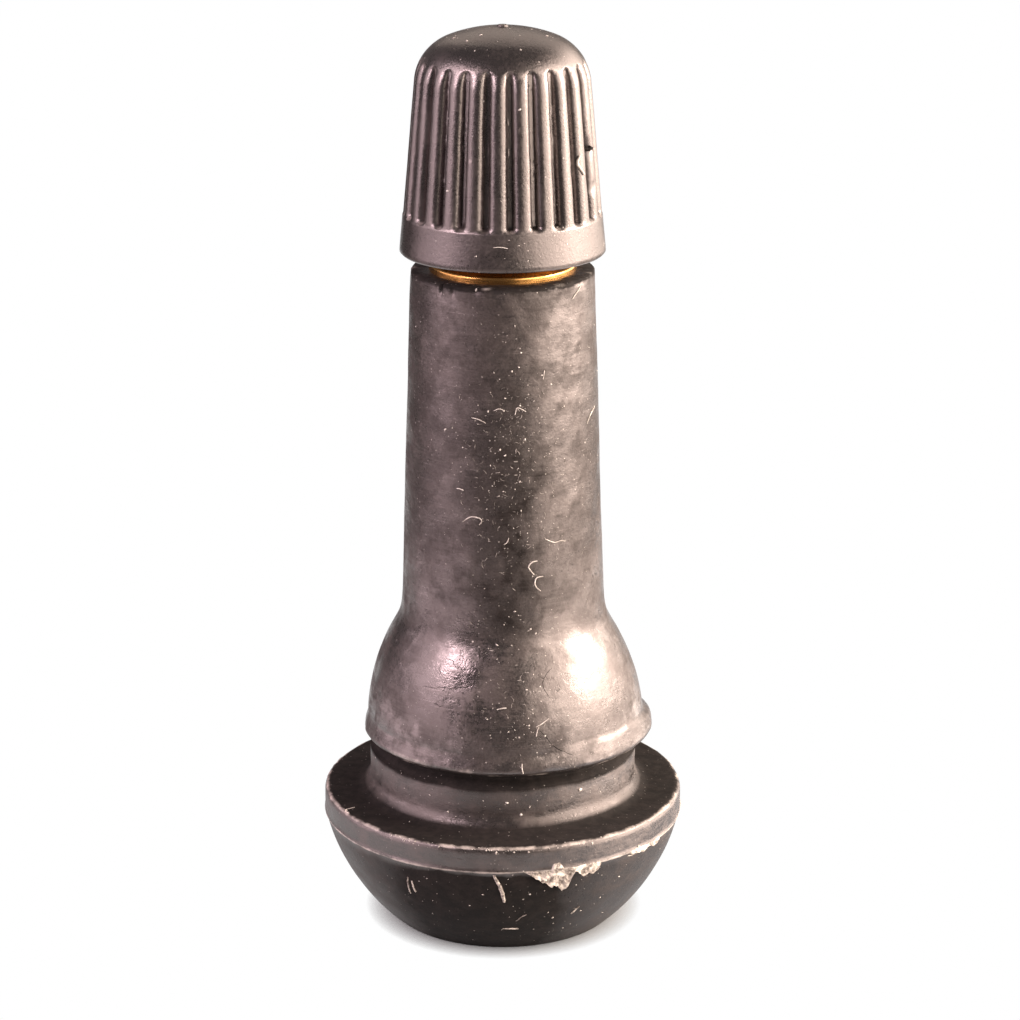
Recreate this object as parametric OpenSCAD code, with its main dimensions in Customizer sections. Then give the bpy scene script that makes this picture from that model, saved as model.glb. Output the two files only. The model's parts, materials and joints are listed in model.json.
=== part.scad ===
// Snap-in tyre valve: moulded rubber body on a brass stem, ribbed screw cap and spring-loaded valve core.
// The axis of the valve is Z, and the origin is on that axis at the flat under the base. Millimetres.

/* [Rubber body] */
// Diameter of the flat that the valve stands on
base_flat_d = 12.2; // [10:0.1:15]
// Height of the bulged base below the flange band
base_h = 5.85; // [4.5:0.05:7]
// How far the base bulges outside a straight cone
base_bulge = 0.55; // [0.1:0.05:1]
// Diameter of the flange that seals against the rim
flange_d = 19.4; // [18:0.1:22]
// Height of the flange band
flange_h = 1.35; // [0.9:0.05:2]
// Rounding of the upper edge of the flange
flange_edge_r = 0.35; // [0.1:0.05:0.6]
// Diameter of the neck that fills the rim hole
neck_d = 14.3; // [12:0.1:14.6]
// Height of the neck between the flange and the bell
neck_h = 3.05; // [2.5:0.05:5]
// Fillet between the flange and the neck
neck_fillet_r = 0.85; // [0.3:0.05:1.2]
// Height of the groove under the rim of the bell
undercut_h = 0.6; // [0.3:0.05:1]
// Depth of the groove under the rim of the bell
undercut_depth = 0.35; // [0.1:0.05:0.6]
// Diameter of the rim of the bell
bell_d = 14.9; // [14.8:0.1:17]
// Height of the bell
bell_h = 6.75; // [5:0.05:9]
// How far the bell bulges outside a straight cone
bell_bulge = 0.5; // [0.1:0.05:1]
// Diameter of the sleeve where it leaves the bell
sleeve_low_d = 10.8; // [10:0.1:12]
// Diameter of the sleeve at its top
sleeve_top_d = 9.56; // [8.6:0.02:10]
// Height of the rubber above the base
rubber_h = 35.65; // [33:0.05:42]
// Chamfer of the top edge of the sleeve
sleeve_edge = 0.18; // [0.05:0.01:0.4]
// Diameter of the air hole through the base
air_hole_d = 3.8; // [3:0.1:5]
// Countersink of the air hole
air_hole_chamfer = 0.5; // [0.1:0.05:1]

/* [Brass stem] */
// Outside diameter of the cap thread
cap_thread_d = 7.7; // [7.3:0.05:8]
// Diameter of the plain relief under the cap thread
relief_d = 6.9; // [6.6:0.05:7.1]
// How far the relief shows above the rubber
relief_out = 1.75; // [1:0.05:3]
// How far the relief runs down into the rubber
relief_in = 1.5; // [0.5:0.05:3]
// Diameter of the shank inside the rubber
shank_d = 6.4; // [6:0.05:6.6]
// How far the mouth of the stem stands above the rubber
stem_out = 9.35; // [8.5:0.05:12]
// Chamfer round the mouth
mouth_chamfer = 0.6; // [0.2:0.05:0.8]
// Lead-in chamfer of the bore at the mouth
mouth_lead = 0.3; // [0.1:0.05:0.5]
// Thickness of the rubber under the brass foot
foot_cover = 4.6; // [3.5:0.1:6]
// Diameter of the foot that anchors the stem in the base
foot_d = 9; // [7.5:0.1:10]
// Height of the foot
foot_h = 1.6; // [1:0.1:2.5]
// Number of keying grooves in the shank
key_count = 4; // [1:1:6]
// Width of a keying groove
key_w = 1.2; // [0.6:0.1:1.6]
// Depth of a keying groove
key_depth = 0.3; // [0.1:0.05:0.4]
// Pitch of the keying grooves
key_pitch = 2.6; // [2:0.1:3]
// Plain shank between the foot and the first keying groove
key_start = 3; // [1.5:0.1:5]
// Diameter of the air passage below the core
passage_d = 2.8; // [2:0.1:3.4]

/* [Cap] */
// Brass left in view between the rubber and the cap
cap_gap = 0.93; // [0.5:0.01:1.5]
// Diameter of the cap at its lower edge
cap_d = 10.72; // [10.2:0.02:12]
// Draft of the side of the cap in degrees
cap_draft = 5.35; // [3:0.05:6]
// Roof of the cap above its gasket
roof_t = 2.5; // [2:0.05:3.5]
// Radius of the crown
crown_r = 8; // [6:0.1:12]
// Radius of the shoulder between the side and the crown
shoulder_r = 2.6; // [1.5:0.05:3]
// Chamfer of the lower edge
cap_edge = 0.15; // [0.05:0.01:0.3]
// Diameter of the moulding gate on the crown
gate_d = 1.1; // [0.6:0.1:2]
// Height of the moulding gate
gate_h = 0.12; // [0.05:0.01:0.3]
// Number of grip ribs
rib_count = 24; // [12:1:28]
// Plain band below the ribs
band_h = 1.95; // [1:0.05:3]
// Depth of the grooves at the band
groove_depth = 0.5; // [0.2:0.02:0.6]
// Width of the groove floor
groove_w = 0.24; // [0.1:0.02:0.4]
// Draft of the groove floor in degrees
groove_draft = 4.4; // [2.5:0.1:5]
// Length of the grooves up to their blunt ends
groove_l = 7.9; // [5:0.05:8.5]
// Rounding of the edges of the ribs
rib_edge_r = 0.4; // [0.1:0.02:0.45]
// Turn of the first groove from the front in degrees
groove_turn = 4.9; // [0:0.1:15]
// Lead-in chamfer of the cap thread
cap_lead = 0.45; // [0.2:0.05:0.7]
// Thickness of the gasket
gasket_t = 0.8; // [0.5:0.05:1.2]
// Outside diameter of the gasket
gasket_d = 6.9; // [6.6:0.05:7.2]
// Hole of the gasket
gasket_hole_d = 4; // [3:0.1:4.6]
// Height of the dimple in the roof above the gasket hole
dimple_h = 0.8; // [0.5:0.05:1.2]

/* [Core plug] */
// Outside diameter of the core thread
plug_d = 5.2; // [5:0.05:5.4]
// Top of the tongue below the mouth
plug_drop = 3; // [2.8:0.05:3.4]
// Height of the tongue that the core key grips
tongue_h = 1.4; // [0.8:0.05:1.8]
// Thickness of the tongue
tongue_t = 2.2; // [1.9:0.05:2.6]
// Cut of the tongue's ends inside the thread
tongue_relief = 0.2; // [0.1:0.05:0.4]
// Length of the core thread
plug_thread_h = 3.4; // [2.5:0.05:4]
// Air bore of the plug
plug_bore_d = 3; // [2.8:0.05:3.2]
// Diameter of the swivel skirt
skirt_d = 4.6; // [4.5:0.05:4.9]
// Height of the swivel skirt
skirt_h = 1.6; // [1.3:0.05:2]
// Thickness of the lip that is crimped under the barrel's head
lip_t = 0.5; // [0.3:0.05:0.7]

/* [Core barrel] */
// Diameter of the head held in the swivel skirt
head_d = 3.7; // [3.5:0.05:3.8]
// Thickness of the head
head_t = 0.5; // [0.3:0.05:0.7]
// Diameter of the barrel's neck and seal land
barrel_neck_d = 3.1; // [3:0.05:3.3]
// Free neck between the skirt and the seal
barrel_neck_h = 0.3; // [0.2:0.05:0.6]
// Height of the barrel seal
seal_h = 2.2; // [1.6:0.05:2.6]
// Upper diameter of the barrel seal
seal_top_d = 4.6; // [4.4:0.05:4.8]
// Lower diameter of the barrel seal
seal_low_d = 4.1; // [3.95:0.05:4.3]
// Diameter of the shoulder under the seal
shoulder_d = 3.9; // [3.6:0.05:3.9]
// Thickness of the shoulder under the seal
shoulder_t = 0.5; // [0.3:0.05:0.8]
// Diameter of the lower tube
tube_d = 3.5; // [3.3:0.05:3.7]
// Length of the lower tube
tube_h = 4.3; // [3.5:0.05:6]
// Bore for the spring
spring_bore_d = 2.4; // [2.3:0.05:2.6]
// Air hole under the spring
tube_hole_d = 1.8; // [1.6:0.05:1.9]
// Thickness of the ledge under the spring
ledge_t = 1.3; // [0.8:0.05:1.6]
// Height of the ridge that the plunger closes on
ridge_h = 0.3; // [0.15:0.05:0.5]
// Outside diameter of that ridge
ridge_d = 2.5; // [2.3:0.05:2.6]

/* [Pin and plunger] */
// Tip of the pin below the mouth
pin_drop = 0.5; // [0.3:0.05:0.7]
// Diameter of the pin
pin_d = 1.3; // [1.1:0.05:1.35]
// Diameter of the head of the pin
pin_head_d = 1.9; // [1.6:0.05:2.2]
// Height of the head of the pin
pin_head_h = 0.6; // [0.4:0.05:0.8]
// Rounding of the tip of the pin
pin_edge = 0.15; // [0.05:0.01:0.25]
// Diameter of the collar over the spring
collar_d = 2; // [1.9:0.05:2.2]
// Thickness of the collar over the spring
collar_t = 0.35; // [0.2:0.05:0.5]
// Travel of the pin
pin_travel = 1.5; // [1:0.05:1.6]
// Outside diameter of the plunger cup
cup_d = 3.4; // [3.3:0.05:3.6]
// Wall of the plunger cup
cup_wall = 0.35; // [0.25:0.05:0.4]
// Floor of the plunger cup
cup_floor = 0.4; // [0.3:0.05:0.6]
// Thickness of the cup seal
cup_seal_t = 1.2; // [0.8:0.05:1.5]
// How far the cup seal stands out of the cup
cup_seal_out = 0.2; // [0.1:0.05:0.3]
// Diameter of the rivet under the cup
rivet_d = 1.9; // [1.7:0.05:2.4]
// Height of the rivet under the cup
rivet_h = 0.4; // [0.25:0.05:0.6]
// Outside diameter of the spring
spring_d = 2.2; // [2.1:0.02:2.26]
// Diameter of the spring wire
wire_d = 0.3; // [0.2:0.01:0.34]
// Turns of the spring
spring_turns = 10; // [6:1:13]

/* [Clearances] */
// Radial running clearance of the two screw threads
thread_gap = 0.05; // [0.03:0.01:0.1]
// Clearance of the swivel between plug and barrel
swivel_gap = 0.05; // [0.03:0.01:0.1]
// Radial clearance of the pin in the tongue
pin_gap = 0.1; // [0.05:0.01:0.15]
// Clearance between the barrel seal and its seat
seat_gap = 0.03; // [0.02:0.01:0.06]
// Room under the plunger when the pin is pressed
plunger_room = 0.8; // [0.4:0.1:2]

/* [Hidden] */
$fn = 96;
// Overlap of a cutter past the face that it cuts through
past = 1;
// Steps of a long curve and of a small rounding
arc_steps = 16;
edge_steps = 6;
// Sides of the spring wire, and its steps in one turn
wire_sides = 8;
turn_steps = 18;

// Heights of the rubber body
flange_top_z = base_h + flange_h;
bell_rim_z = flange_top_z + neck_h;
bell_top_z = bell_rim_z + bell_h;

// Heights of the stem and the cap
mouth_z = rubber_h + stem_out;
foot_top_z = foot_cover + foot_h;
cap_low_z = rubber_h + cap_gap;
gasket_top_z = mouth_z + gasket_t;
cap_top_z = gasket_top_z + roof_t;
cap_bore_r = cap_thread_d / 2 + thread_gap;
chamfer_z = mouth_z - mouth_chamfer;

// Heights of the core, from the mouth down
tongue_top_z = mouth_z - plug_drop;
tongue_low_z = tongue_top_z - tongue_h;
thread_low_z = tongue_low_z - plug_thread_h;
skirt_low_z = thread_low_z - skirt_h;
lip_top_z = skirt_low_z + lip_t;
head_low_z = lip_top_z + swivel_gap;
head_top_z = head_low_z + head_t;
seal_top_z = skirt_low_z - barrel_neck_h;
seal_low_z = seal_top_z - seal_h;
shoulder_low_z = seal_low_z - shoulder_t;
tube_low_z = shoulder_low_z - tube_h;
ledge_z = tube_low_z + ledge_t;
ridge_z = tube_low_z - ridge_h;
seal_floor_z = ridge_z - cup_seal_t;
cup_low_z = seal_floor_z - cup_floor;
pin_low_z = cup_low_z - rivet_h;
chamber_low_z = pin_low_z - pin_travel - plunger_room;
collar_low_z = head_top_z - collar_t;
core_bore_r = plug_d / 2 + thread_gap;
chamber_r = seal_low_d / 2 + seat_gap;
seat_top_r = seal_top_d / 2 + seat_gap;

// Points of the arc from p to q that bulges by sag to the right of the way there
function bow(p, q, sag) =
    let (
        way = (q - p) / norm(q - p),
        side = [way[1], -way[0]],
        half = norm(q - p) / 2,
        r = (half * half + sag * sag) / (2 * sag),
        centre = (p + q) / 2 + side * (sag - r),
        spread = asin(half / r)
    )
    [for (i = [0 : arc_steps])
        let (a = spread * (2 * i / arc_steps - 1))
        centre + r * (side * cos(a) + way * sin(a))];

// Points of an arc about a centre, from one angle to another
function arc(centre, r, from, to, steps = edge_steps) =
    [for (i = [0 : steps])
        let (a = from + (to - from) * i / steps)
        centre + r * [cos(a), sin(a)]];

// Outside of the rubber, from the flat under the base to the top of the sleeve
function rubber_outline() =
    let (
        flange_r = flange_d / 2,
        neck_r = neck_d / 2,
        groove_r = neck_r - undercut_depth,
        edge_centre = [flange_r - flange_edge_r, flange_top_z - flange_edge_r],
        fillet_centre = [neck_r + neck_fillet_r, flange_top_z + neck_fillet_r]
    )
    concat(
        bow([base_flat_d / 2, 0], [flange_r, base_h], base_bulge),
        arc(edge_centre, flange_edge_r, 0, 90),
        arc(fillet_centre, neck_fillet_r, 270, 180),
        [
            [neck_r, bell_rim_z - undercut_h],
            [groove_r, bell_rim_z - undercut_h / 2],
            [groove_r, bell_rim_z]
        ],
        bow([bell_d / 2, bell_rim_z], [sleeve_low_d / 2, bell_top_z], bell_bulge),
        [
            [sleeve_top_d / 2, rubber_h - sleeve_edge],
            [sleeve_top_d / 2 - sleeve_edge, rubber_h]
        ]
    );

// Outside of the brass stem, from its foot to its mouth
function stem_outline() =
    let (
        shank_r = shank_d / 2,
        foot_r = foot_d / 2,
        relief_r = relief_d / 2,
        thread_r = cap_thread_d / 2,
        shank_low_z = foot_top_z + foot_r - shank_r,
        relief_low_z = rubber_h - relief_in,
        relief_top_z = rubber_h + relief_out
    )
    concat(
        [[foot_r, foot_cover], [foot_r, foot_top_z], [shank_r, shank_low_z]],
        [for (i = [0 : key_count - 1], p = keying_groove(shank_low_z + key_start + i * key_pitch)) p],
        [
            [shank_r, relief_low_z - relief_r + shank_r],
            [relief_r, relief_low_z],
            [relief_r, relief_top_z],
            [thread_r, relief_top_z + thread_r - relief_r],
            [thread_r, chamfer_z],
            [thread_r - mouth_chamfer, mouth_z]
        ]
    );

// One keying groove of the shank, from its lower edge up
function keying_groove(z) =
    let (r = shank_d / 2)
    [
        [r, z],
        [r - key_depth, z + key_depth],
        [r - key_depth, z + key_w - key_depth],
        [r, z + key_w]
    ];

// Bore of the brass stem, from its mouth down to its foot
function stem_bore() =
    let (passage_r = passage_d / 2)
    [
        [core_bore_r + mouth_lead, mouth_z],
        [core_bore_r, mouth_z - mouth_lead],
        [core_bore_r, seal_top_z + core_bore_r - seat_top_r],
        [seat_top_r, seal_top_z],
        [chamber_r, seal_low_z],
        [chamber_r, chamber_low_z],
        [passage_r, chamber_low_z - chamber_r + passage_r],
        [passage_r, foot_cover]
    ];

// Outside of the cap, from its lower edge over the shoulder to the middle of the crown
function cap_outline() =
    let (
        crown_z = cap_top_z - gate_h - crown_r,
        reach = crown_r - shoulder_r,
        side = cap_d / 2 * cos(cap_draft),
        lean = side - shoulder_r - (crown_z - cap_low_z) * sin(cap_draft),
        meet = cap_draft + acos(lean / reach),
        shoulder_centre = [reach * cos(meet), crown_z + reach * sin(meet)]
    )
    concat(
        [
            [cap_d / 2 - cap_edge, cap_low_z],
            [cap_d / 2 - cap_edge * tan(cap_draft), cap_low_z + cap_edge]
        ],
        arc(shoulder_centre, shoulder_r, cap_draft, meet, arc_steps),
        arc([0, crown_z], crown_r, meet, 90)
    );

// Inside of the cap, from the middle of the dimple down to the lower edge
function cap_bore() =
    let (gasket_r = gasket_d / 2, dimple_r = gasket_hole_d / 2)
    [
        [0, gasket_top_z + dimple_h],
        [dimple_r, gasket_top_z + dimple_h],
        [dimple_r, gasket_top_z],
        [gasket_r, gasket_top_z],
        [gasket_r, mouth_z],
        [cap_bore_r, mouth_z - cap_bore_r + gasket_r],
        [cap_bore_r, cap_low_z + cap_lead],
        [cap_bore_r + cap_lead, cap_low_z]
    ];

// Section of a groove between two ribs, with its floor at y = 0
module groove_section() {
    edge = groove_w / 2 + rib_edge_r;
    half = concat(
        [[groove_w / 2, 0]],
        arc([edge, groove_depth - rib_edge_r], rib_edge_r, 180, 90),
        [[edge, groove_depth + past]]
    );
    mirrored = [for (i = [len(half) - 1 : -1 : 0]) [-half[i][0], half[i][1]]];
    polygon(concat(half, mirrored));
}

// Cutter for one groove, from the plain band up to its blunt end
module groove_cutter() {
    band_r = cap_d / 2 - band_h * tan(cap_draft);
    translate([0, -band_r + groove_depth, cap_low_z + band_h])
        rotate([-groove_draft, 0, 0])
            mirror([0, 1, 0])
                linear_extrude(groove_l)
                    groove_section();
}

// Solid of revolution between an outside and an inside line
module turned(outside, inside) {
    rotate_extrude()
        polygon(concat(outside, inside));
}

module rubber_body() {
    hole_r = air_hole_d / 2;
    air_hole = [
        [hole_r, foot_cover],
        [hole_r, air_hole_chamfer],
        [hole_r + air_hole_chamfer, 0]
    ];
    pocket = [for (p = stem_outline()) if (p[1] < rubber_h) p];
    pocket_top = [[relief_d / 2, rubber_h]];
    pocket_down = concat(pocket, pocket_top);
    color("#232021")
        turned(
            rubber_outline(),
            concat([for (i = [len(pocket_down) - 1 : -1 : 0]) pocket_down[i]], air_hole)
        );
}

module stem() {
    color("#b8923f")
        turned(stem_outline(), stem_bore());
}

module cap() {
    color("#1b1a1d")
        difference() {
            union() {
                turned(cap_outline(), cap_bore());
                translate([0, 0, cap_top_z - gate_h - past])
                    cylinder(d = gate_d, h = gate_h + past);
            }
            for (i = [0 : rib_count - 1])
                rotate([0, 0, groove_turn + i * 360 / rib_count])
                    groove_cutter();
        }
}

module cap_gasket() {
    color("#5a2a24")
        turned(
            [[gasket_hole_d / 2, mouth_z], [gasket_d / 2, mouth_z]],
            [[gasket_d / 2, gasket_top_z], [gasket_hole_d / 2, gasket_top_z]]
        );
}

module core_plug() {
    color("#c9a24d")
        difference() {
            union() {
                translate([0, 0, thread_low_z])
                    cylinder(d = plug_d, h = plug_thread_h);
                translate([0, 0, skirt_low_z])
                    cylinder(d = skirt_d, h = skirt_h);
                intersection() {
                    translate([0, 0, thread_low_z])
                        cylinder(d = plug_d - 2 * tongue_relief, h = plug_thread_h + tongue_h);
                    translate([-plug_d / 2, -tongue_t / 2, thread_low_z])
                        cube([plug_d, tongue_t, plug_thread_h + tongue_h]);
                }
            }
            translate([0, 0, lip_top_z])
                cylinder(d = head_d + 2 * swivel_gap, h = head_t + 2 * swivel_gap);
            translate([0, 0, skirt_low_z - past])
                cylinder(d = barrel_neck_d + 2 * swivel_gap, h = lip_t + 2 * past);
            translate([0, 0, lip_top_z])
                cylinder(d = plug_bore_d, h = tongue_low_z - lip_top_z);
            translate([0, 0, lip_top_z])
                cylinder(d = pin_d + 2 * pin_gap, h = tongue_top_z - lip_top_z + past);
        }
}

module core_barrel() {
    color("#d2b366")
        turned(
            [
                [tube_hole_d / 2, ridge_z],
                [ridge_d / 2, ridge_z],
                [ridge_d / 2, tube_low_z],
                [tube_d / 2, tube_low_z],
                [tube_d / 2, shoulder_low_z],
                [shoulder_d / 2, shoulder_low_z],
                [shoulder_d / 2, seal_low_z],
                [barrel_neck_d / 2, seal_low_z],
                [barrel_neck_d / 2, head_low_z],
                [head_d / 2, head_low_z],
                [head_d / 2, head_top_z]
            ],
            [
                [spring_bore_d / 2, head_top_z],
                [spring_bore_d / 2, ledge_z],
                [tube_hole_d / 2, ledge_z]
            ]
        );
}

module barrel_seal() {
    color("#8f2f2a")
        turned(
            [[barrel_neck_d / 2, seal_low_z], [seal_low_d / 2, seal_low_z]],
            [[seal_top_d / 2, seal_top_z], [barrel_neck_d / 2, seal_top_z]]
        );
}

module core_pin() {
    tip_z = mouth_z - pin_drop;
    color("#d8c48a")
        turned(
            [
                [0, pin_low_z],
                [rivet_d / 2, pin_low_z],
                [rivet_d / 2, cup_low_z],
                [pin_d / 2, cup_low_z],
                [pin_d / 2, collar_low_z],
                [collar_d / 2, collar_low_z],
                [collar_d / 2, head_top_z],
                [pin_d / 2, head_top_z]
            ],
            [
                [pin_d / 2, tip_z - pin_head_h],
                [pin_head_d / 2, tip_z - pin_head_h],
                [pin_head_d / 2, tip_z - pin_edge],
                [pin_head_d / 2 - pin_edge, tip_z],
                [0, tip_z]
            ]
        );
}

// Height of the wire's middle after a number of turns: one flat turn at each end, an even pitch between
function wire_z(turn) =
    let (
        flat = wire_d * 1.1,
        low = ledge_z + wire_d / 2,
        high = collar_low_z - wire_d / 2,
        pitch = (high - low - 2 * flat) / (spring_turns - 2)
    )
    turn < 1 ? low + flat * turn
        : turn > spring_turns - 1 ? high - flat * (spring_turns - turn)
        : low + flat + pitch * (turn - 1);

module core_spring() {
    coil_r = (spring_d - wire_d) / 2;
    rings = spring_turns * turn_steps;
    points = [for (i = [0 : rings], j = [0 : wire_sides - 1])
        let (
            turn = i / turn_steps,
            side = 360 * j / wire_sides,
            r = coil_r + wire_d / 2 * cos(side)
        )
        [r * cos(360 * turn), r * sin(360 * turn), wire_z(turn) + wire_d / 2 * sin(side)]];
    skin = [for (i = [0 : rings - 1], j = [0 : wire_sides - 1])
        let (a = i * wire_sides, b = a + wire_sides, k = (j + 1) % wire_sides)
        [a + j, a + k, b + k, b + j]];
    ends = [
        [for (j = [wire_sides - 1 : -1 : 0]) j],
        [for (j = [0 : wire_sides - 1]) rings * wire_sides + j]
    ];
    color("#b9bcc0")
        polyhedron(points, concat(skin, ends), convexity = spring_turns);
}

module plunger_cup() {
    rim_z = ridge_z - cup_seal_out;
    color("#c9a24d")
        turned(
            [
                [pin_d / 2, cup_low_z],
                [cup_d / 2, cup_low_z],
                [cup_d / 2, rim_z],
                [cup_d / 2 - cup_wall, rim_z]
            ],
            [[cup_d / 2 - cup_wall, seal_floor_z], [pin_d / 2, seal_floor_z]]
        );
}

module cup_seal() {
    color("#2b2b2e")
        turned(
            [[pin_d / 2, seal_floor_z], [cup_d / 2 - cup_wall, seal_floor_z]],
            [[cup_d / 2 - cup_wall, ridge_z], [pin_d / 2, ridge_z]]
        );
}

rubber_body();
stem();
cap();
cap_gasket();
core_plug();
core_barrel();
barrel_seal();
core_pin();
core_spring();
plunger_cup();
cup_seal();
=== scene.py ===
"""Looks of a snap-in tyre valve: moulded rubber body, brass stem, ribbed screw cap and valve core."""

import json
import logging
import math
import random
from bisect import bisect_right
from collections.abc import Mapping, Sequence
from dataclasses import dataclass, field
from enum import Enum
from typing import Any, ClassVar, Protocol

import bmesh
import bpy
from mathutils import Matrix, Vector, noise


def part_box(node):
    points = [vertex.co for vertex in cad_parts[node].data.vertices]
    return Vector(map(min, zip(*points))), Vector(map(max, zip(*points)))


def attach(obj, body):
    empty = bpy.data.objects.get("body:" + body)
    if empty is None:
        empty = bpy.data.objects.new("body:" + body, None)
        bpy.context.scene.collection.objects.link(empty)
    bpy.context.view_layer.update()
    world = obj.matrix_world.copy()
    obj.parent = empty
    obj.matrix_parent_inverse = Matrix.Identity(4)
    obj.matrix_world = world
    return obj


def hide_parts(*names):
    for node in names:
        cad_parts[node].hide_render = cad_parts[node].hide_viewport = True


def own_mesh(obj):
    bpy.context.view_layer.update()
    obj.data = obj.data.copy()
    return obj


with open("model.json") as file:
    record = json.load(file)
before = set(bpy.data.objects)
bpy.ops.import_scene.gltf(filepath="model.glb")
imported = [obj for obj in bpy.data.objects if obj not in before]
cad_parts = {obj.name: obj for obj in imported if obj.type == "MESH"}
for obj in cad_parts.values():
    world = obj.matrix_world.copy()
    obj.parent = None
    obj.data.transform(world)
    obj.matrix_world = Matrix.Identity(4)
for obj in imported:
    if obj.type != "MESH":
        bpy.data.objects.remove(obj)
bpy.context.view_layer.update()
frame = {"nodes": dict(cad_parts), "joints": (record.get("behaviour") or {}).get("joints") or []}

MM = 0.001
MERGE = 1e-4 * MM
LOG = logging.getLogger("tyre_valve")

Colour = tuple[float, float, float, float]


class Body(Enum):
    """The moving bodies that pieces ride on."""

    VALVE = "valve_body"
    CAP = "cap"
    BARREL = "core_barrel"


class Slot(Enum):
    """The record's material slots."""

    RUBBER = "body_rubber"
    STEM = "stem_brass"
    CAP = "cap_plastic"
    SPRING = "spring_steel"


# Small sums


def smooth(low: float, high: float, x: float) -> float:
    """Rises smoothly from 0 at low to 1 at high."""
    t = min(max((x - low) / (high - low), 0.0), 1.0)
    return t * t * (3 - 2 * t)


def hump(x: float, middle: float, width: float) -> float:
    """A bell curve of height 1 about the middle."""
    return math.exp(-(((x - middle) / width) ** 2))


def read_off(x: float, stops: Sequence[tuple[float, float]]) -> float:
    """Reads a value off a line drawn through stops.

    Args:
        x: Where to read.
        stops: Pairs of place and value, in rising order of place.

    Returns:
        The value at x, held level past both ends.
    """
    i = bisect_right([s[0] for s in stops], x)
    if i == 0:
        return stops[0][1]
    if i == len(stops):
        return stops[-1][1]
    (x0, y0), (x1, y1) = stops[i - 1], stops[i]
    return y0 + (y1 - y0) * (x - x0) / (x1 - x0)


def rough(place: Vector, per_mm: float, seed: float = 0.0, octaves: int = 3) -> float:
    """Uneven value between about -1 and 1.

    Args:
        place: Point in metres.
        per_mm: Bumps in a millimetre.
        seed: Picks another pattern.
        octaves: How many finer layers are added.

    Returns:
        The value at that point.
    """
    at = place * (per_mm / MM) + Vector((seed, seed * 1.7, -seed))
    return noise.fractal(at, 0.9, 2.1, octaves)


def at_bearing(bearing: float, r: float, z: float) -> Vector:
    """Point at a bearing in degrees to the right of the front, a distance from the axis and a height."""
    a = math.radians(bearing)
    return Vector((r * math.sin(a), -r * math.cos(a), z))


def bearing_of(place: Vector) -> float:
    """Bearing of a point in degrees to the right of the front."""
    return math.degrees(math.atan2(place.x, -place.y))


# Turned shapes


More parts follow.
